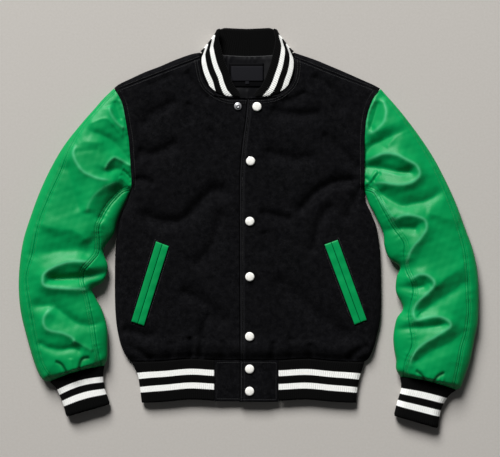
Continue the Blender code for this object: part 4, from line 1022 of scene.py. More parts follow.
def front_plan(side):
    """Plan of one front, from the hem up past the armhole to the tip at the neck."""
    into = HALF_GAP * TURN[side]
    level_with_armpit = (FRONT_EDGE[side][2][0], ARMHOLE[side][-1][1])
    edge_low, edge_high = cut_at(curve(FRONT_EDGE[side]), level_with_armpit)
    edge_low, edge_high = even(edge_low, SIDE_ROWS), even(edge_high, ARMHOLE_ROWS)
    fold = even(curve(BODY_SIDE[side]), SIDE_ROWS)[::-1]
    hole = stitched(armhole_below(side), ARMHOLE_ROWS, into)[::-1]
    shoulder = stitched(from_corner(side, SHOULDER_SEAM[side]), SHOULDER_ROWS, -into)
    neckline = stitched(curve(NECKLINE[side]), SHOULDER_ROWS, 2 * into)
    corner = (hole[-1] + shoulder[0]) / 2
    shares = graded(FRONT_WIDTH, turns(BODY_LAY["roll"]), EDGE_COLUMNS, FRONT_COLUMNS)
    return stacked(
        at_hem(between(fold, edge_low, shares)),
        between(ended(fold[-1], hole, corner), edge_high, shares),
        between(ended(corner, shoulder), ended(edge_high[-1], neckline, shoulder[-1]), shares),
    )


def make_front(side):
    grid = sheet(front_plan(side), "body", 1, body_relief(side))
    front = shell(f"cloth_front_{side}", [(grid, UP)], "wool", f"front_{side}")
    # painted shade and painted highlight along the left front's edge
    return mark_painted_light(front, painted_edge_light) if side == "left" else front


def make_back():
    """The back, with the strips of it that come over the shoulders to the seams in front."""
    across = beneath(BACK_WIDTH, BODY_LAY)
    sides, holes, over, strips = [], [], [], []
    for side in SIDES:
        into = HALF_GAP * TURN[side]
        sides.append(even(curve(BODY_SIDE[side]), SIDE_ROWS)[::-1])
        over.append(even(shortened(curve(SHOULDER_FOLD[side])[::-1]), SHOULDER_ROWS))
        hole = stitched(curve(ARMHOLE[side]), ARMHOLE_ROWS, into)
        holes.append(ended(over[-1][0], hole, sides[-1][-1])[::-1])
        seam = stitched(from_corner(side, SHOULDER_SEAM[side]), SHOULDER_ROWS, into)
        plan = between(over[-1], seam, evenly(STRIP_COLUMNS) ** 2)
        strips.append((sheet(plan, "body", 1, body_relief(side)), UP))
    low = at_hem(between(*sides, across), HEM_SEAM_DROP)
    plan = stacked(low, between(*holes, across), between(*over, across, BACK_NECKLINE_DIP))
    return shell("cloth_back", [(sheet(plan, "body", -1), -UP)] + strips, "wool", "back_panel")


def make_sleeve(side):
    """Front and back of a sleeve, which meet in the seams beside its outer and inner folds."""
    into = HALF_GAP * TURN[side]
    rows = (CAP_ROWS, ARM_ROWS)
    relief = sleeve_relief(side)
    seams = sleeve_seams(side)
    outer_seam = cut_at(seams["outer"], CAP_MATCH[side])

    cap, arm = (stitched(part, count, into) for part, count in zip(outer_seam, rows))
    hole = stitched(armhole_below(side), CAP_ROWS, -into)
    inner = stitched(seams["inner"], ARM_ROWS, -into)
    tip, armpit = (hole[0] + cap[0]) / 2, (inner[0] + hole[-1]) / 2
    shares = graded(SLEEVE_WIDTH, EDGE_COLUMNS, EDGE_COLUMNS, SLEEVE_COLUMNS)
    plan = stacked(
        between(ended(tip, cap), ended(tip, hole, armpit), shares),
        between(arm, ended(armpit, inner), shares),
    )
    grid = sheet(cuff_bowed(plan, side), side, 1, relief)
    node = f"sleeve_front_{side}"
    front = shell(f"leather_{node}", [(grid, UP)], "leather", node)
    # painted highlight on the sleeve's fold crests and painted shade in its tight creases
    mark_painted_light(front, lambda xy: painted_fold_light(xy, side))

    outer_fold = cut_at(shortened(curve(SLEEVE_OUTER[side])), FOLD_MATCH[side])
    cap_fold, arm_fold = (even(part, count) for part, count in zip(outer_fold, rows))
    inner_fold = even(curve(SLEEVE_INNER[side]), ARM_ROWS)
    cap, arm = (stitched(part, count, -into) for part, count in zip(outer_seam, rows))
    hole = ended(cap_fold[0], stitched(curve(ARMHOLE[side]), CAP_ROWS, -into), inner_fold[0])
    inner = ended(inner_fold[0], stitched(seams["inner"], ARM_ROWS, into))
    across = beneath(SLEEVE_WIDTH, SLEEVE_LAY)
    shares = evenly(STRIP_COLUMNS + 1)
    shares = shares - np.sin(2 * math.pi * shares) / (4 * math.pi)
    plans = (
        (stacked(between(cap_fold, cap, shares), between(arm_fold, arm, shares)), 1),
        (stacked(between(cap_fold, hole, across), between(arm_fold, inner_fold, across)), -1),
        (between(inner_fold, inner, shares), 1),
    )
    grids = [(sheet(cuff_bowed(p, side), side, way, relief), way * UP) for p, way in plans]
    node = f"sleeve_back_{side}"
    return front, shell(f"leather_{node}", grids, "leather", node)


# ---- knitted bands


def ribbed(length):
    """Shares along a band of this length at which its columns stand, and the height of its ribs
    there: a rounded crest each, with a narrow valley between, the square root of a sine wave's
    size."""
    looks = bpy.context.scene.jacket_looks
    count = int(round(length * MM / looks.rib_pitch))
    share = evenly(count * RIB_COLUMNS + 1)
    return share, looks.rib_relief / MM * np.sqrt(np.abs(np.sin(math.pi * share * count)))


def band_section(first, second, lay, shares, facing, relief):
    """One sheet of a flattened knitted tube: rows from its first to its second fold, on the same
    quarter ellipses as the cloth, with the ribs' relief added along its normals."""
    width = np.linalg.norm(second - first, axis=1, keepdims=True)
    ahead = unit(second - first)[:, None]
    from_first = shares * width
    reach = np.minimum(from_first, width - from_first)
    turn = np.clip(1.0 - reach / (lay["roll"] if facing > 0 else lay["under"]), 0.0, 1.0)
    rise = np.sqrt(1.0 - turn**2)
    outward = np.where(from_first < width / 2, -1.0, 1.0)[..., None] * ahead
    plan = first[:, None] + from_first[..., None] * ahead
    z = mix(lay["fold"], lay["crown"], rise) if facing > 0 else lay["fold"] * (1.0 - rise)
    normals = np.concatenate([outward * turn[..., None], facing * rise[..., None]], axis=-1)
    return risen(plan, z) + relief[..., None] * normals


def band_cloth(share, width, length):
    """Cloth coordinates of a band's grid: millimetres across it and up from its lower edge."""
    across = np.broadcast_to(share * width, (BAND_ROWS, share.shape[-1]))
    up = np.broadcast_to(np.linspace(length, 0.0, BAND_ROWS)[:, None], across.shape)
    return np.stack([across, up], axis=-1)


def make_cuff(side):
    """A knitted tube, open at the hand, whose upper end follows the bowed seam."""
    outer, inner = (even(curve(CUFF_SIDES[side][k]), BAND_ROWS) for k in ("outer", "inner"))
    width, length = np.linalg.norm(outer - inner, axis=1).mean(), run_along(outer)[-1]
    flat = beneath(width, CUFF_LAY)
    down = evenly(BAND_ROWS)[:, None]
    rounded = EDGE_ROUND * np.maximum(0.0, 1.0 - (1.0 - down) * length / EDGE_ROUND) ** 2
    bow = CUFF_SEAM_BOW * (1.0 - down) + CUFF_BOW[side] * np.sin(math.pi * down)
    grids = []
    for share, relief, facing in ((*ribbed(width), 1), (flat, 0.0 * flat, -1)):
        points = band_section(outer, inner, CUFF_LAY, share, facing, relief - rounded)
        points[..., 1] += bow * hump(share)
        grids.append((points, facing * UP, band_cloth(share, width, CUFF_LENGTH)))
    return shell(f"rib_cuff_{side}", grids, "cuff_rib", f"cuff_{side}")


def make_hem_rib():
    """One knitted band, from the right tab round the back to the left tab."""
    right, left = (even(curve(HEM_BAND_SIDES[side]), BAND_ROWS) for side in SIDES)
    width, length = np.linalg.norm(left - right, axis=1), run_along(right)[-1]
    to_tab = (TAB["right"][0] - SEAM_GAP - right[:, 0]) / width
    from_tab = (TAB["left"][1] + SEAM_GAP - right[:, 0]) / width
    down = evenly(BAND_ROWS)[:, None]
    sections = []
    for low, high in ((0.0 * width, to_tab), (from_tab, 1.0 + 0.0 * width)):
        along, relief = ribbed(((high - low) * width).mean())
        sections.append((mix(low[:, None], high[:, None], along), relief, 1))
    flat = beneath(width.mean(), HEM_LAY)
    grids = []
    for share, relief, facing in (*sections, (flat, 0.0 * flat, -1)):
        points = band_section(right, left, HEM_LAY, share, facing, relief[None])
        side = np.abs(2 * share - 1.0)
        rise = (1.0 - side) * mix(HEM_SEAM_DROP, HEM_BAND_DROP, down)
        rise -= HEM_SAG * side**HEM_SAG_POWER * np.sin(math.pi * down)
        points[..., 1] += rise + hem_bow(points[..., 0])
        grids.append((points, facing * UP, band_cloth(share, width.mean(), length)))
    return shell("rib_hem", grids, "hem_rib", "hem_rib")


def tab_height(xy, side):
    """Height of a hem tab: flat, raised over the other tab, with a proud stitched edge."""
    far = off(xy, tab_box(side))
    relief = uneven(xy, "tab") + ridge(far, STITCH_DIP, TAB_STITCH) + ridge(far, TAB_DIP)
    return HEM_LAY["crown"] + relief + (overlap_lift(xy) if side == "left" else 0.0)


def make_hem_tab(side):
    """A wool end of the hem band: the left one lies on the right one."""
    low, high, bottom = TAB[side]
    x = np.linspace(low + HALF_GAP, high - HALF_GAP, TAB_COLUMNS)
    y = mix(hem_seam_y(x) - SEAM_GAP, bottom, evenly(TAB_COLUMNS)[:, None])
    plan = np.stack([np.broadcast_to(x, y.shape), y], axis=-1)
    points = risen(plan, tab_height(plan.reshape(-1, 2), side))
    tab = shell(f"cloth_tab_{side}", [(points, UP)], "wool", f"hem_tab_{side}")
    # painted shade and painted highlight along the tab's edge, the same as the left front's
    return mark_painted_light(tab, painted_edge_light) if side == "left" else tab


# ---- collar


def collar_section(row, sewn_z, normal):
    """One section of the collar: its sewn and its free edge in space, and its outward normal."""
    return np.array([*row[:2], sewn_z]), np.array(row[2:], float), normal


def collar_rows():
    """Sections of the collar band from the right front end to the left. The band lies face up in
    front, turns over the side folds and lies face down behind the neck."""
    halves = []
    for side in SIDES:
        front = np.array(COLLAR_FRONT[side], float)
        seam_z = height(front[:, :2], "body", 1, body_relief(side)) + COLLAR_SEAM_RISE
        rows = [collar_section(row, z, UP) for row, z in zip(front, seam_z)]
        fold = {end: np.array(COLLAR_FOLD[side][end], float) for end in ("sewn", "free")}
        ahead = unit(fold["free"] - fold["sewn"])
        out = TURN[side] * np.array([-ahead[1], ahead[0]])
        into = {"sewn": -out, "free": unit(np.array(COLLAR_BACK[side][0][2:4]) - fold["free"])}
        tops = {"sewn": rows[-1][0][2] - COLLAR_FOLD_SINK, "free": rows[-1][1][2]}
        for turn in np.radians(COLLAR_FOLD_TURNS):
            ends = []
            for end in fold:
                half = (tops[end] - COLLAR_UNDERSIDE) / 2
                plan = fold[end] + into[end] * COLLAR_FOLD_WIDTH[end] * (1 - math.cos(turn))
                ends.append(np.array([*plan, COLLAR_UNDERSIDE + half * (1 + math.sin(turn))]))
            rows.append((*ends, np.array([*(out * math.cos(turn)), math.sin(turn)])))
        rows += [collar_section(row, COLLAR_UNDERSIDE, -UP) for row in COLLAR_BACK[side]]
        halves.append(rows)
    centre = collar_section(COLLAR_BACK_CENTRE, COLLAR_UNDERSIDE, -UP)
    return halves[0] + [centre] + halves[1][::-1]


def smoothed(rows, over):
    """Each column of evenly spaced rows, averaged over so many of them by a raised cosine."""
    weights = np.hanning(over + 2)[1:-1]
    weights /= weights.sum()
    padded = np.pad(rows, ((over // 2, over // 2), (0, 0)), mode="reflect", reflect_type="odd")
    return np.stack([np.convolve(column, weights, "valid") for column in padded.T], axis=1)


def make_collar():
    """The band as a closed profile carried along its sections: outer face, rounded free edge and
    inner face. Ribs run across it, and none stand on the face that lies on the surface."""
    table = np.array([np.concatenate(row) for row in collar_rows()])
    run = run_along((table[:, 0:3] + table[:, 3:6]) / 2)
    stations, rib = ribbed(run[-1])
    stations, rib = (stations * run[-1])[:, None], rib[:, None]
    rows = smoothed(at_places(stations[:, 0], run, table), COLLAR_SMOOTH)
    sewn, free, normal = (rows[:, None, k : k + 3] for k in (0, 3, 6))
    normal, across = unit(normal), unit(free - sewn)
    width = np.linalg.norm(free - sewn, axis=-1)
    outer_rib = rib * np.clip(normal[..., 2] + 1.0, 0.0, 1.0)
    half = RIB_KNIT / 2

    share = evenly(COLLAR_COLUMNS_OUTER)[None]
    sideways = np.hypot(normal[..., 0], normal[..., 1])
    bulge = COLLAR_BULGE * np.clip(normal[..., 2], 0.0, 1.0) - COLLAR_FOLD_SAG * sideways
    bulge = bulge * hump(share)
    turn = np.linspace(0.0, math.pi, COLLAR_COLUMNS_EDGE)[None]
    reach = (
        share * (width - half),
        width - half + (half + rib) * np.sin(turn),
        share[:, ::-1] * (width - half),
    )
    rise = (
        bulge + outer_rib,
        (half + outer_rib) * np.cos(turn) - half,
        bulge[:, ::-1] - RIB_KNIT - rib * COLLAR_INNER_RELIEF,
    )
    reach, rise = np.concatenate(reach, axis=1), np.concatenate(rise, axis=1)
    points = sewn + across * reach[..., None] + normal * rise[..., None]
    from_free = width - reach
    from_free[:, -COLLAR_COLUMNS_OUTER:] -= 2 * COLLAR_BARE
    cloth = np.stack([np.broadcast_to(stations, reach.shape), from_free], axis=-1)
    facing = (points - points.mean(axis=1, keepdims=True))[:-1, :-1]
    mesh = mesh_of("rib_collar", [(points, facing, cloth)])
    return finish("rib_collar", mesh, "collar_rib", "collar")


# ---- trims


def make_welt(side, which):
    """One leather welt: a strip between two straight edges with a softly rounded crown, the root
    of a half sine over its width, lying on the front."""
    outer_top, inner_top, inner_bottom, outer_bottom = np.array(POCKET_CORNERS[side], float)
    ends = (outer_top, outer_bottom) if which == "outer" else (inner_top, inner_bottom)
    middle = ((outer_top + inner_top) / 2, (outer_bottom + inner_bottom) / 2)
    width = np.linalg.norm(middle[0] - ends[0])
    share = evenly(WELT_COLUMNS)
    rows = evenly(WELT_ROWS)[:, None]
    edges = (even(np.array(line), WELT_ROWS) for line in (ends, middle))
    plan = between(*edges, share * (1 - WELT_SLIT / width / 2))
    points = sheet(plan, "body", 1, body_relief(side))
    half_wave = np.sin(math.pi * share)
    crown = WELT_CROWN * np.sqrt(half_wave) * np.sin(math.pi * rows) ** WELT_END_POWER
    wave = WELT_WAVE[0] * np.sin(rows / WELT_WAVE[1]) * half_wave
    points[..., 2] += SEAM_GAP + WELT_WALL + crown + wave
    name = f"pocket_welt_{which}_{side}"
    return shell(f"leather_{name}", [(points, UP)], "welt", name)


def turned(node, key, profile, place):
    """A solid of revolution: a profile of (radius, height) carried round a vertical axis."""
    profile = np.array(profile)
    angle = np.linspace(0.0, 2 * math.pi, SNAP_SIDES + 1)
    radius, level = profile[:, :1], np.broadcast_to(profile[:, 1:], (len(profile), len(angle)))
    points = np.stack([radius * np.cos(angle), radius * np.sin(angle), level], axis=-1)
    points = np.concatenate([points[:1] * UP, points]) + np.array(place)
    middle = np.array(place) + UP * profile[:, 1].max() / 2
    name = f"trim_{node}"
    return finish(name, mesh_of(name, [(points, (points - middle)[:-1, :-1])]), key, node)


def resting_height(place, radius, side):
    """The highest point of the upper sheet, or of the hem tab, under a round trim."""
    angles = np.linspace(0.0, 2 * math.pi, SNAP_BEARINGS, endpoint=False)
    ring = np.array(place) + radius * np.stack([np.cos(angles), np.sin(angles)], axis=1)
    under = np.vstack([[place], ring])
    if place[1] > HEM_SEAM_Y:
        return height(under, "body", 1, body_relief(side)).max()
    return tab_height(under, side).max()


def make_snaps():
    """Seven pearl caps down the left front, and the open stud on the right front at the neck."""
    for number, place in enumerate(CAP_PLACES, 1):
        base = (*place, resting_height(place, CAP_RADIUS, "left") + SNAP_GAP)
        turned(f"snap_cap_{number}", "cap", CAP_PROFILE, base)
    base = (*STUD_PLACE, resting_height(STUD_PLACE, STUD_RADIUS, "right") + SNAP_GAP)
    turned("snap_stud", "stud", STUD_PROFILE, base)


def make_lining():
    """Satin over the inside of the back. Its gathers are sine waves of uneven length along the
    neck seam, which die away below it; one soft pleat runs down the middle."""
    share = evenly(LINING_COLUMNS)[None]
    rows = evenly(LINING_GRID_ROWS)[:, None]
    x = mix(*(mix(LINING_TOP_X[k], LINING_BOTTOM_X[k], rows) for k in (0, 1)), share)
    top = LINING_TOP_Y + LINING_TOP_BOW * np.minimum(1.0, (x[:1] / LINING_BOW_AT) ** 2)
    plan = np.stack([x, mix(top, LINING_BOTTOM_Y, rows)], axis=-1)
    below = top - plan[..., 1]
    gathered = ridge(below, (LINING_GATHER, LINING_GATHER_REACH)) * ease(below / LINING_SEAM)
    z = WOOL + SEAM_GAP + SATIN + (1.0 + gathers(x, *LINING_WAVES)) * gathered
    z += LINING_LIFT + uneven(plan.reshape(-1, 2), "lining").reshape(x.shape)
    crest = PLEAT["height"] * np.exp(-np.abs((x - PLEAT["x"]) / PLEAT["width"]))
    z += crest * ease((PLEAT["top"] - plan[..., 1]) / PLEAT["over"])
    return shell("satin_lining", [(risen(plan, z), UP)], "satin", "back_lining")


def make_label(node, key, box, level):
    """A small woven rectangle whose middle swells a little, by the root of two half sines."""
    share = evenly(LABEL_COLUMNS)
    plan = np.stack(np.meshgrid(*(mix(box[0][k], box[1][k], share) for k in (0, 1))), axis=-1)
    half_wave = np.sin(math.pi * share)
    points = risen(plan, level + LABEL_SWELL * np.sqrt(half_wave[:, None] * half_wave[None]))
    return shell(f"trim_{node}", [(points, UP)], key, node)


# ---- sewing


def stitch_rows(name, rows, key):
    """Rows of stitches as one mesh. A stitch is a short thread lying along its row: four rings of
    its radius, smaller at the ends, which dip into the cloth."""
    looks = bpy.context.scene.jacket_looks
    pitch, thick = looks.stitch_pitch / MM, looks.thread_width / MM / 2
    starts = []
    for points, normals in rows:
        run = run_along(points)
        count = max(2, int(run[-1] / pitch))
        at = (np.arange(count) + 0.5) * run[-1] / count
        both = at_places(at, run, np.column_stack([points, normals]))
        starts.append(np.column_stack([both, unit(np.gradient(both[:, :3], axis=0))]))
    at = np.concatenate(starts)[:, None, None]
    place, normal, ahead = at[..., :3], unit(at[..., 3:6]), at[..., 6:]
    side = np.cross(normal, ahead)
    units = np.array([pitch * STITCH_SHARE / 2, thick, thick])
    along, radius, drop = (np.array(STITCH_RINGS) * units).T[:, None, :, None, None]
    angle = np.linspace(0.0, 2 * math.pi, STITCH_SIDES, endpoint=False)[:, None]
    ring = np.cos(angle) * side + (np.sin(angle) + STITCH_SINK) * normal
    points = place + along * ahead + radius * ring - drop * normal
    index = np.arange(points.size // 3).reshape(points.shape[:3])
    turned_on = np.roll(index, -1, axis=2)
    sides = np.stack([index[:, :-1], turned_on[:, :-1], turned_on[:, 1:], index[:, 1:]], axis=-1)
    first, last = index[:, 0, ::-1], index[:, -1]
    faces = sides.reshape(-1, 4).tolist() + first.tolist() + last.tolist()
    mesh = bpy.data.meshes.new(name)
    mesh.from_pydata(points.reshape(-1, 3) * MM, [], faces)
    return finish(name, mesh, key)


def front_stitches(side):
    """Rows of stitches of one front: armhole, shoulder, front edge, pocket frame and neckline."""
    turn, relief, starts = TURN[side], body_relief(side), STITCH_ROW_STARTS
    shoulder, neck = from_corner(side, SHOULDER_SEAM[side]), curve(NECKLINE[side])
    lines = [
        shifted(armhole_below(side), turn * ARMHOLE_STITCH)[starts["armhole"] :],
        shifted(shoulder, -turn * SHOULDER_STITCH)[starts["shoulder"] :],
        shifted(shoulder, turn * SHOULDER_STITCH)[starts["shoulder"] :],
        shifted(curve(FRONT_EDGE[side]), turn * EDGE_STITCH),
        pocket_frame(side, POCKET_FRAME_STITCH),
    ]
    lines += [shifted(neck, turn * far)[starts["neck"] : -1] for far in NECK_STITCHES]
    return [on_sheet(even(line, len(line) * 2), "body", relief) for line in lines]


def tab_stitches(side):
    """The row of stitches round a hem tab."""
    box = tab_box(side, TAB_STITCH)
    line = even(np.vstack([box, box[:1]]), TAB_STITCH_POINTS)
    points = np.column_stack([line, tab_height(line, side)])
    return points, np.broadcast_to(UP, points.shape)


def sleeve_stitches(side):
    """Rows beside a sleeve's outer and inner seams, on the pieces on both of their sides."""
    relief = sleeve_relief(side)
    rows = []
    for which, line in sleeve_seams(side).items():
        for away in SLEEVE_STITCHES[which]:
            plan = shifted(line, away * TURN[side])[STITCH_ROW_STARTS["sleeve"] : -2]
            rows.append(on_sheet(cuff_bowed(even(plan, len(plan) * 2), side), side, relief))
    return rows


# ---- materials


def linear(code):
    """An sRGB colour written as #rrggbb, as the linear values that a shader takes. The numbers are
    those of the sRGB standard."""
    raw = np.array([int(code[k : k + 2], 16) for k in (1, 3, 5)]) / 255
    low = raw / 12.92
    high = ((raw + 0.055) / 1.055) ** 2.4
    return (*np.where(raw <= 0.04045, low, high), 1.0)


def add(tree, kind, settings=None, values=None, links=None):
    """Adds a node, with its settings, its sockets' values and the links into its sockets."""
    made = tree.nodes.new(kind)
    for key, value in (settings or {}).items():
        setattr(made, key, value)
    for key, value in (values or {}).items():
        made.inputs[key].default_value = value
    for key, source in (links or {}).items():
        tree.links.new(source, made.inputs[key])
    return made


def principled(name, values):
    """A material with one Principled shader; returns the material, its tree and the shader."""
    made = bpy.data.materials.get(name) or bpy.data.materials.new(name)
    made.use_nodes = True
    tree = made.node_tree
    tree.nodes.clear()
    shader = add(tree, "ShaderNodeBsdfPrincipled", None, values)
    add(tree, "ShaderNodeOutputMaterial", None, None, {"Surface": shader.outputs[0]})
    return made, tree, shader


def noise(tree, size, detail=2.0, roughness=0.5):
    """Noise whose lumps are so many millimetres across, over the object's own coordinates."""
    place = add(tree, "ShaderNodeTexCoord").outputs["Object"]
    values = {"Scale": 1.0 / (size * MM), "Detail": detail, "Roughness": roughness}
    return add(tree, "ShaderNodeTexNoise", None, values, {"Vector": place}).outputs["Fac"]


def ranged(tree, source, low, high, to_low=0.0, to_high=1.0):
    """The source's stretch from low to high, spread over another stretch."""
    values = {"From Min": low, "From Max": high, "To Min": to_low, "To Max": to_high}
    return add(tree, "ShaderNodeMapRange", None, values, {"Value": source}).outputs["Result"]


def feed(tree, socket, source):
    """Gives a socket an output's link, or else a value."""
    if isinstance(source, bpy.types.NodeSocket):
        tree.links.new(source, socket)
    else:
        socket.default_value = source


def blended(tree, share, first, second):
    """A colour from first to second by share; each is a colour or an output."""
    made = add(tree, "ShaderNodeMix", {"data_type": "RGBA"}, None, {"Factor": share})
    feed(tree, made.inputs[6], first)
    feed(tree, made.inputs[7], second)
    return made.outputs[2]


def with_painted_light(tree, colour, pale, dark, full=1.0):
    """A colour with painted light: a painted highlight towards pale where the mesh's crest
    attribute is positive, and a painted shade towards dark where it is negative."""
    crest = add(tree, "ShaderNodeAttribute", {"attribute_name": "crest"}).outputs["Fac"]
    paled = blended(tree, ranged(tree, crest, 0.0, full), colour, pale)
    return blended(tree, ranged(tree, crest, 0.0, -1.0), paled, dark)


def counted(tree, operation, *sources):
    """A sum, product or other operation on outputs and numbers."""
    made = add(tree, "ShaderNodeMath", {"operation": operation})
    for socket, source in zip(made.inputs, sources):
        feed(tree, socket, source)
    return made.outputs[0]


def bumped(tree, shader, source, depth, strength=1.0, below=None):
    """Relief of so many millimetres from a source, over another relief if one is given."""
    links = {"Height": source} if below is None else {"Height": source, "Normal": below}
    values = {"Distance": depth * MM, "Strength": strength}
    normal = add(tree, "ShaderNodeBump", None, values, links).outputs["Normal"]
    tree.links.new(normal, shader.inputs["Normal"])
    return normal


def wool():
    """Melton wool: woven, then felted and brushed, so short fibres hide the weave. They scatter
    light at grazing angles, and lint and nap direction leave a faint mottle. Along the left front's
    edge a painted shade and a painted highlight are mixed into its colour."""
    looks = bpy.context.scene.jacket_looks
    values = {"Roughness": 0.95, "Specular IOR Level": 0.02}
    made, tree, shader = principled(
        "melton_wool", {**values, "Sheen Weight": 0.01, "Sheen Roughness": 0.5}
    )
    fibres = noise(tree, WOOL_FIBRE, detail=3.0, roughness=0.65)
    mottle = ranged(tree, noise(tree, WOOL_MOTTLE, detail=4.0, roughness=0.65), *MOTTLE_SPAN)
    dark, light = linear(looks.wool_colour), linear(looks.wool_lint)
    share = counted(tree, "MULTIPLY", ranged(tree, fibres, *FIBRE_SPAN), mottle)
    # painted highlight in the lint colour and painted shade in black, from the crest attribute
    colour = with_painted_light(tree, blended(tree, share, dark, light), light, linear(PAINTED_EDGE_SHADE))
    tree.links.new(colour, shader.inputs["Base Color"])
    first = bumped(tree, shader, fibres, WOOL_DEPTH)
    bumped(tree, shader, noise(tree, WOOL_LUMP), WOOL_LUMP_DEPTH, below=first)
    return made


def leather():
    """Cowhide, drum dyed and finished with a thin pigmented lacquer: an even colour with a soft
    gloss, and a fine grain of pebbles that shows where the light grazes. Crests carry a painted
    highlight and tight creases a painted shade."""
    looks = bpy.context.scene.jacket_looks
    made, tree, shader = principled("dyed_leather", {"Specular IOR Level": 0.13})
    clouds = ranged(tree, noise(tree, LEATHER_CLOUD), *CLOUD_SPAN)
    dyed = blended(tree, clouds, linear(looks.leather_colour), linear(looks.leather_light))
    # painted highlight on fold crests, painted shade in tight creases
    colour = with_painted_light(tree, dyed, linear(PAINTED_CREST_HIGHLIGHT), linear(PAINTED_CREASE_SHADE), PAINTED_HIGHLIGHT_FULL)
    tree.links.new(colour, shader.inputs["Base Color"])
    rough = ranged(tree, noise(tree, LEATHER_GLOSS, detail=3.0), *GLOSS_SPAN)
    tree.links.new(rough, shader.inputs["Roughness"])
    place = {"Vector": add(tree, "ShaderNodeTexCoord").outputs["Object"]}
    edges, size = {"feature": "DISTANCE_TO_EDGE"}, {"Scale": 1.0 / (LEATHER_PEBBLE * MM)}
    pebbles = add(tree, "ShaderNodeTexVoronoi", edges, size, place).outputs["Distance"]
    grain = bumped(tree, shader, ranged(tree, pebbles, *PEBBLE_SPAN), PEBBLE_DEPTH, strength=0.7)
    swell = noise(tree, LEATHER_SWELL, detail=3.0)
    bumped(tree, shader, swell, SWELL_DEPTH, strength=0.8, below=grain)
    return made


def knit(name, stripes):
    """Acrylic rib knit, one row of loops after another: ribs stand in the mesh, and each row of
    loops adds a fine line across them, as relief and, on the stripes, as painted shade between the
    rows. Stripes are rows of another yarn, so they end on a loop."""
    looks = bpy.context.scene.jacket_looks
    values = {"Roughness": 0.9, "Specular IOR Level": 0.06}
    made, tree, shader = principled(name, {**values, "Sheen Weight": 0.02, "Sheen Roughness": 0.5})
    cloth = add(tree, "ShaderNodeUVMap", {"uv_map": "cloth"}).outputs["UV"]
    split = add(tree, "ShaderNodeSeparateXYZ", None, None, {"Vector": cloth})
    across, up = split.outputs["X"], split.outputs["Y"]
    rib_phase = counted(tree, "MULTIPLY", across, 2 * math.pi / looks.rib_pitch)
    loops = counted(tree, "SINE", counted(tree, "MULTIPLY", up, 2 * math.pi / (KNIT_ROW * MM)))
    wander = counted(tree, "MULTIPLY", counted(tree, "SINE", rib_phase), LOOP_WANDER * MM)
    level = counted(tree, "ADD", up, wander)
    white = None
    for low, high in stripes:
        ends = [((at - STRIPE_SOFT) * MM, (at + STRIPE_SOFT) * MM) for at in (low, high)]
        above = ranged(tree, level, *ends[0])
        below = ranged(tree, level, *ends[1], 1.0, 0.0)
        band = counted(tree, "MULTIPLY", above, below)
        white = band if white is None else counted(tree, "ADD", white, band)
    fuzz = ranged(tree, noise(tree, YARN_FUZZ), *FUZZ_SPAN)
    # painted shade between the rows of loops on the stripes, mixed with the yarn's random fuzz
    fuzz_and_painted_shade = counted(tree, "MULTIPLY", fuzz, ranged(tree, loops, *LOOP_SPAN))
    pale = blended(tree, fuzz_and_painted_shade, linear(PAINTED_LOOP_SHADE), linear(looks.stripe_colour))
    colour = blended(tree, white, linear(looks.rib_colour), pale)
    tree.links.new(colour, shader.inputs["Base Color"])
    bumped(tree, shader, loops, LOOP_DEPTH, strength=0.8)
    return made


def satin():
    """Polyester satin: long floats of thread give a soft gloss that is streaked along them."""
    colour = linear(bpy.context.scene.jacket_looks.lining_colour)
    values = {"Base Color": colour, "Roughness": 0.5, "Specular IOR Level": 0.13}
    made, tree, shader = principled(
        "satin_lining", {**values, "Anisotropic": 0.5, "Sheen Weight": 0.03}
    )
    bumped(tree, shader, noise(tree, SATIN_THREAD, detail=1.0), SATIN_DEPTH, strength=0.5)
    return made


def woven_label(name, colour):
    """Woven polyester tape: a tight plain weave with a dull gloss."""
    values = {"Base Color": linear(colour), "Roughness": 0.7, "Specular IOR Level": 0.04}
    made, tree, shader = principled(name, values)
    bumped(tree, shader, noise(tree, TAPE_THREAD, detail=1.0), TAPE_DEPTH, strength=0.8)
    return made


def pearl():
    """Pearl-white enamel baked on a cap formed in a press: glossy under a clear coat, faintly
    cloudy.
    """
    values = {"Roughness": 0.22, "Coat Weight": 0.6, "Coat Roughness": 0.08}
    made, tree, shader = principled("pearl_cap", values)
    clouds = ranged(tree, noise(tree, PEARL_CLOUD), *CLOUD_SPAN)
    light = linear(bpy.context.scene.jacket_looks.cap_colour)
    colour = blended(tree, clouds, light, linear(PEARL_SHADE))
    tree.links.new(colour, shader.inputs["Base Color"])
    return made


def nickel():
    """Nickel-plated brass, formed in a press and tumbled: grey metal with broad, soft reflections.
    """
    values = {"Base Color": linear(NICKEL), "Metallic": 1.0, "Roughness": 0.46}
    return principled("nickel_stud", values)[0]


def thread(name, colour):
    """Bonded polyester sewing thread: a tight twist with a slight gloss."""
    values = {"Base Color": linear(colour), "Roughness": 0.55, "Sheen Weight": 0.15}
    return principled(name, values)[0]


def floor_paint():
    """A pale matt surface with hardly any mottle, so that nothing on it competes."""
    made, tree, shader = principled("pale_floor", {"Roughness": 0.85, "Specular IOR Level": 0.25})
    light = linear(bpy.context.scene.jacket_looks.floor_colour)
    mottle = ranged(tree, noise(tree, FLOOR_MOTTLE, detail=4.0), *FLOOR_SPAN)
    colour = blended(tree, mottle, linear(FLOOR_SHADE), light)
    tree.links.new(colour, shader.inputs["Base Color"])
    return made


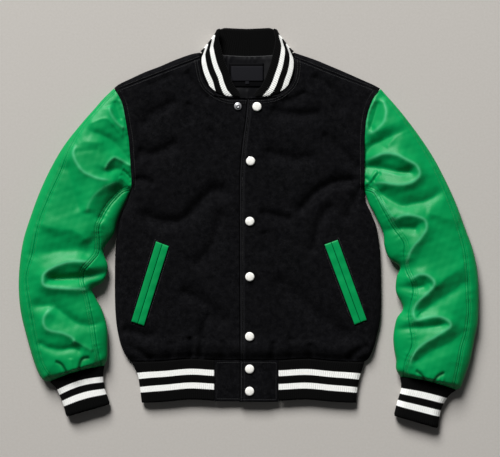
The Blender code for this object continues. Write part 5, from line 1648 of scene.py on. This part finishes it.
# Each finish: what makes its material, its slot, and the wall of a cloth
FINISHES = {
    "wool": (wool, "wool", WOOL),
    "leather": (leather, "leather", LEATHER),
    "welt": (leather, "leather", WELT_WALL),
    "cuff_rib": (lambda: knit("cuff_rib_knit", CUFF_STRIPES), "rib", RIB_KNIT),
    "hem_rib": (lambda: knit("hem_rib_knit", HEM_STRIPES), "rib", RIB_KNIT),
    "collar_rib": (lambda: knit("collar_rib_knit", COLLAR_STRIPES), "rib"),
    "satin": (satin, "satin", SATIN),
    "patch": (lambda: woven_label("label_patch_twill", PATCH), "satin", TRIM_WALL),
    "label": (lambda: woven_label("label_tape", TAPE), "label", TRIM_WALL),
    "cap": (pearl, "cap"),
    "stud": (nickel, "stud"),
    "black_thread": (lambda: thread("black_thread", BLACK_THREAD), "wool"),
    "green_thread": (lambda: thread("green_thread", GREEN_THREAD), "leather"),
}


# ---- the add-on


class JacketLooks(PropertyGroup):
    """Sizes and colours of the jacket that a user would change."""

    rib_pitch: FloatProperty(
        name="Rib pitch", description="From one rib of the knit to the next", default=0.004,
        min=0.002, max=0.008, unit="LENGTH", subtype="DISTANCE",
    )
    rib_relief: FloatProperty(
        name="Rib relief", description="Height of a rib over its valleys", default=0.0007,
        min=0.0, max=0.0015, unit="LENGTH", subtype="DISTANCE",
    )
    fold_strength: FloatProperty(
        name="Fold strength", description="Share of the folds' full height", default=1.0,
        min=0.0, max=1.5, subtype="FACTOR",
    )
    stitch_pitch: FloatProperty(
        name="Stitch pitch", description="From one stitch to the next", default=0.0034,
        min=0.002, max=0.006, unit="LENGTH", subtype="DISTANCE",
    )
    thread_width: FloatProperty(
        name="Thread width", description="Thickness of the sewing thread", default=0.0006,
        min=0.0003, max=0.0012, unit="LENGTH", subtype="DISTANCE",
    )
    wool_colour: StringProperty(
        name="Wool", description="sRGB colour of the body", default="#030304"
    )
    wool_lint: StringProperty(
        name="Wool lint", description="sRGB colour of its fibre tips", default="#222224"
    )
    leather_colour: StringProperty(
        name="Leather", description="sRGB colour of the sleeves", default="#007c40"
    )
    leather_light: StringProperty(
        name="Leather, paler", description="sRGB colour of the dye's paler patches",
        default="#008647",
    )
    rib_colour: StringProperty(
        name="Rib", description="sRGB colour of the knit", default="#030303"
    )
    stripe_colour: StringProperty(
        name="Stripes", description="sRGB colour of its stripes", default="#efefeb"
    )
    lining_colour: StringProperty(
        name="Lining", description="sRGB colour of the satin", default="#0a0a0c"
    )
    cap_colour: StringProperty(
        name="Snap caps", description="sRGB colour of the caps", default="#f1efe9"
    )
    floor_colour: StringProperty(
        name="Floor", description="sRGB colour of the floor", default="#aeaaa5"
    )


class JACKET_OT_body(Operator):
    """Makes the wool fronts, the back and the hem tabs, with their sewing"""

    bl_idname = "jacket.body"
    bl_label = "Wool body"

    def execute(self, context):
        make_back()
        for side in SIDES:
            front, tab = make_front(side), make_hem_tab(side)
            rows = front_stitches(side) + [tab_stitches(side)]
            sewing = stitch_rows(f"sewing_front_{side}", rows, "black_thread")
        return {"FINISHED"}


class JACKET_OT_sleeves(Operator):
    """Makes the leather sleeves, with the rows of stitches beside their seams"""

    bl_idname = "jacket.sleeves"
    bl_label = "Leather sleeves"

    def execute(self, context):
        for side in SIDES:
            front, back = make_sleeve(side)
            rows = sleeve_stitches(side)
            sewing = stitch_rows(f"sewing_sleeve_{side}", rows, "green_thread")
        return {"FINISHED"}


class JACKET_OT_bands(Operator):
    """Makes the knitted cuffs, hem band and collar"""

    bl_idname = "jacket.bands"
    bl_label = "Rib bands"

    def execute(self, context):
        for side in SIDES:
            make_cuff(side)
        make_hem_rib()
        make_collar()
        return {"FINISHED"}


class JACKET_OT_pockets(Operator):
    """Makes the two leather welts of each hand pocket"""

    bl_idname = "jacket.pockets"
    bl_label = "Pocket welts"

    def execute(self, context):
        for side in SIDES:
            for which in ("outer", "inner"):
                make_welt(side, which)
        return {"FINISHED"}


class JACKET_OT_snaps(Operator):
    """Makes the snap caps and the stud at the neck"""

    bl_idname = "jacket.snaps"
    bl_label = "Snaps"

    def execute(self, context):
        make_snaps()
        return {"FINISHED"}


class JACKET_OT_neck(Operator):
    """Makes the lining and the blank label that show through the neck"""

    bl_idname = "jacket.neck"
    bl_label = "Neck lining and label"

    def execute(self, context):
        lining = make_lining()
        level = WOOL + SEAM_GAP + SATIN + LABEL_LIFT
        step = SEAM_GAP + TRIM_WALL
        patch = make_label("label_patch", "patch", PATCH_BOX, level + step)
        label = make_label("label_blank", "label", LABEL_BOX, level + 2 * step)
        make_label("label_tag", "label", TAG_BOX, level + 2 * step)
        return {"FINISHED"}


class JACKET_OT_stage(Operator):
    """Makes the pale floor, the soft studio light and the camera straight above"""

    bl_idname = "jacket.stage"
    bl_label = "Stage"

    def execute(self, context):
        mesh = bpy.data.meshes.new("floor")
        half, level = FLOOR_SIZE / 2 * MM, FLOOR_LEVEL * MM
        corners = ((-half, -half), (half, -half), (half, half), (-half, half))
        mesh.from_pydata([(x, y, level) for x, y in corners], [], [(0, 1, 2, 3)])
        mesh.materials.append(floor_paint())
        placed("floor", mesh)

        for name, place, size, power in LIGHTS:
            lamp = bpy.data.lights.new(name, "AREA")
            lamp.shape, lamp.size, lamp.energy = "SQUARE", size, power
            made = placed(name, lamp)
            made.location = place
            made.rotation_euler = (-Vector(place)).to_track_quat("-Z", "Y").to_euler()

        scene = context.scene
        scene.world = bpy.data.worlds.new("studio")
        scene.world.use_nodes = True
        sky = scene.world.node_tree.nodes["Background"].inputs
        sky["Color"].default_value, sky["Strength"].default_value = linear(SKY), WORLD_STRENGTH
        scene.view_settings.view_transform = "Standard"

        lens = bpy.data.cameras.new("camera")
        lens.sensor_width = SENSOR_WIDTH
        lens.lens = SENSOR_WIDTH * CAMERA_DISTANCE / CAMERA_WIDTH
        lens.clip_start, lens.clip_end = CAMERA_CLIP
        scene.camera = placed("camera", lens)
        place = (*CAMERA_CENTRE, CAMERA_LEVEL + CAMERA_DISTANCE)
        scene.camera.location = [value * MM for value in place]
        return {"FINISHED"}


OPERATORS = (
    JACKET_OT_body,
    JACKET_OT_sleeves,
    JACKET_OT_bands,
    JACKET_OT_pockets,
    JACKET_OT_snaps,
    JACKET_OT_neck,
    JACKET_OT_stage,
)


class JACKET_PT_panel(Panel):
    """The jacket's sizes, colours and pieces"""

    bl_idname = "JACKET_PT_panel"
    bl_label = "Varsity jacket"
    bl_space_type = "VIEW_3D"
    bl_region_type = "UI"
    bl_category = "Jacket"

    def draw(self, context):
        looks = context.scene.jacket_looks
        for key in JacketLooks.__annotations__:
            self.layout.prop(looks, key)
        for operator in OPERATORS:
            self.layout.operator(operator.bl_idname)


CLASSES = (JacketLooks, *OPERATORS, JACKET_PT_panel)


def register():
    for each in CLASSES:
        bpy.utils.register_class(each)
    bpy.types.Scene.jacket_looks = PointerProperty(type=JacketLooks)


def unregister():
    del bpy.types.Scene.jacket_looks
    for each in reversed(CLASSES):
        bpy.utils.unregister_class(each)


def main():
    register()
    for operator in OPERATORS:
        group, name = operator.bl_idname.split(".")
        getattr(getattr(bpy.ops, group), name)()


if __name__ == "__main__":
    main()
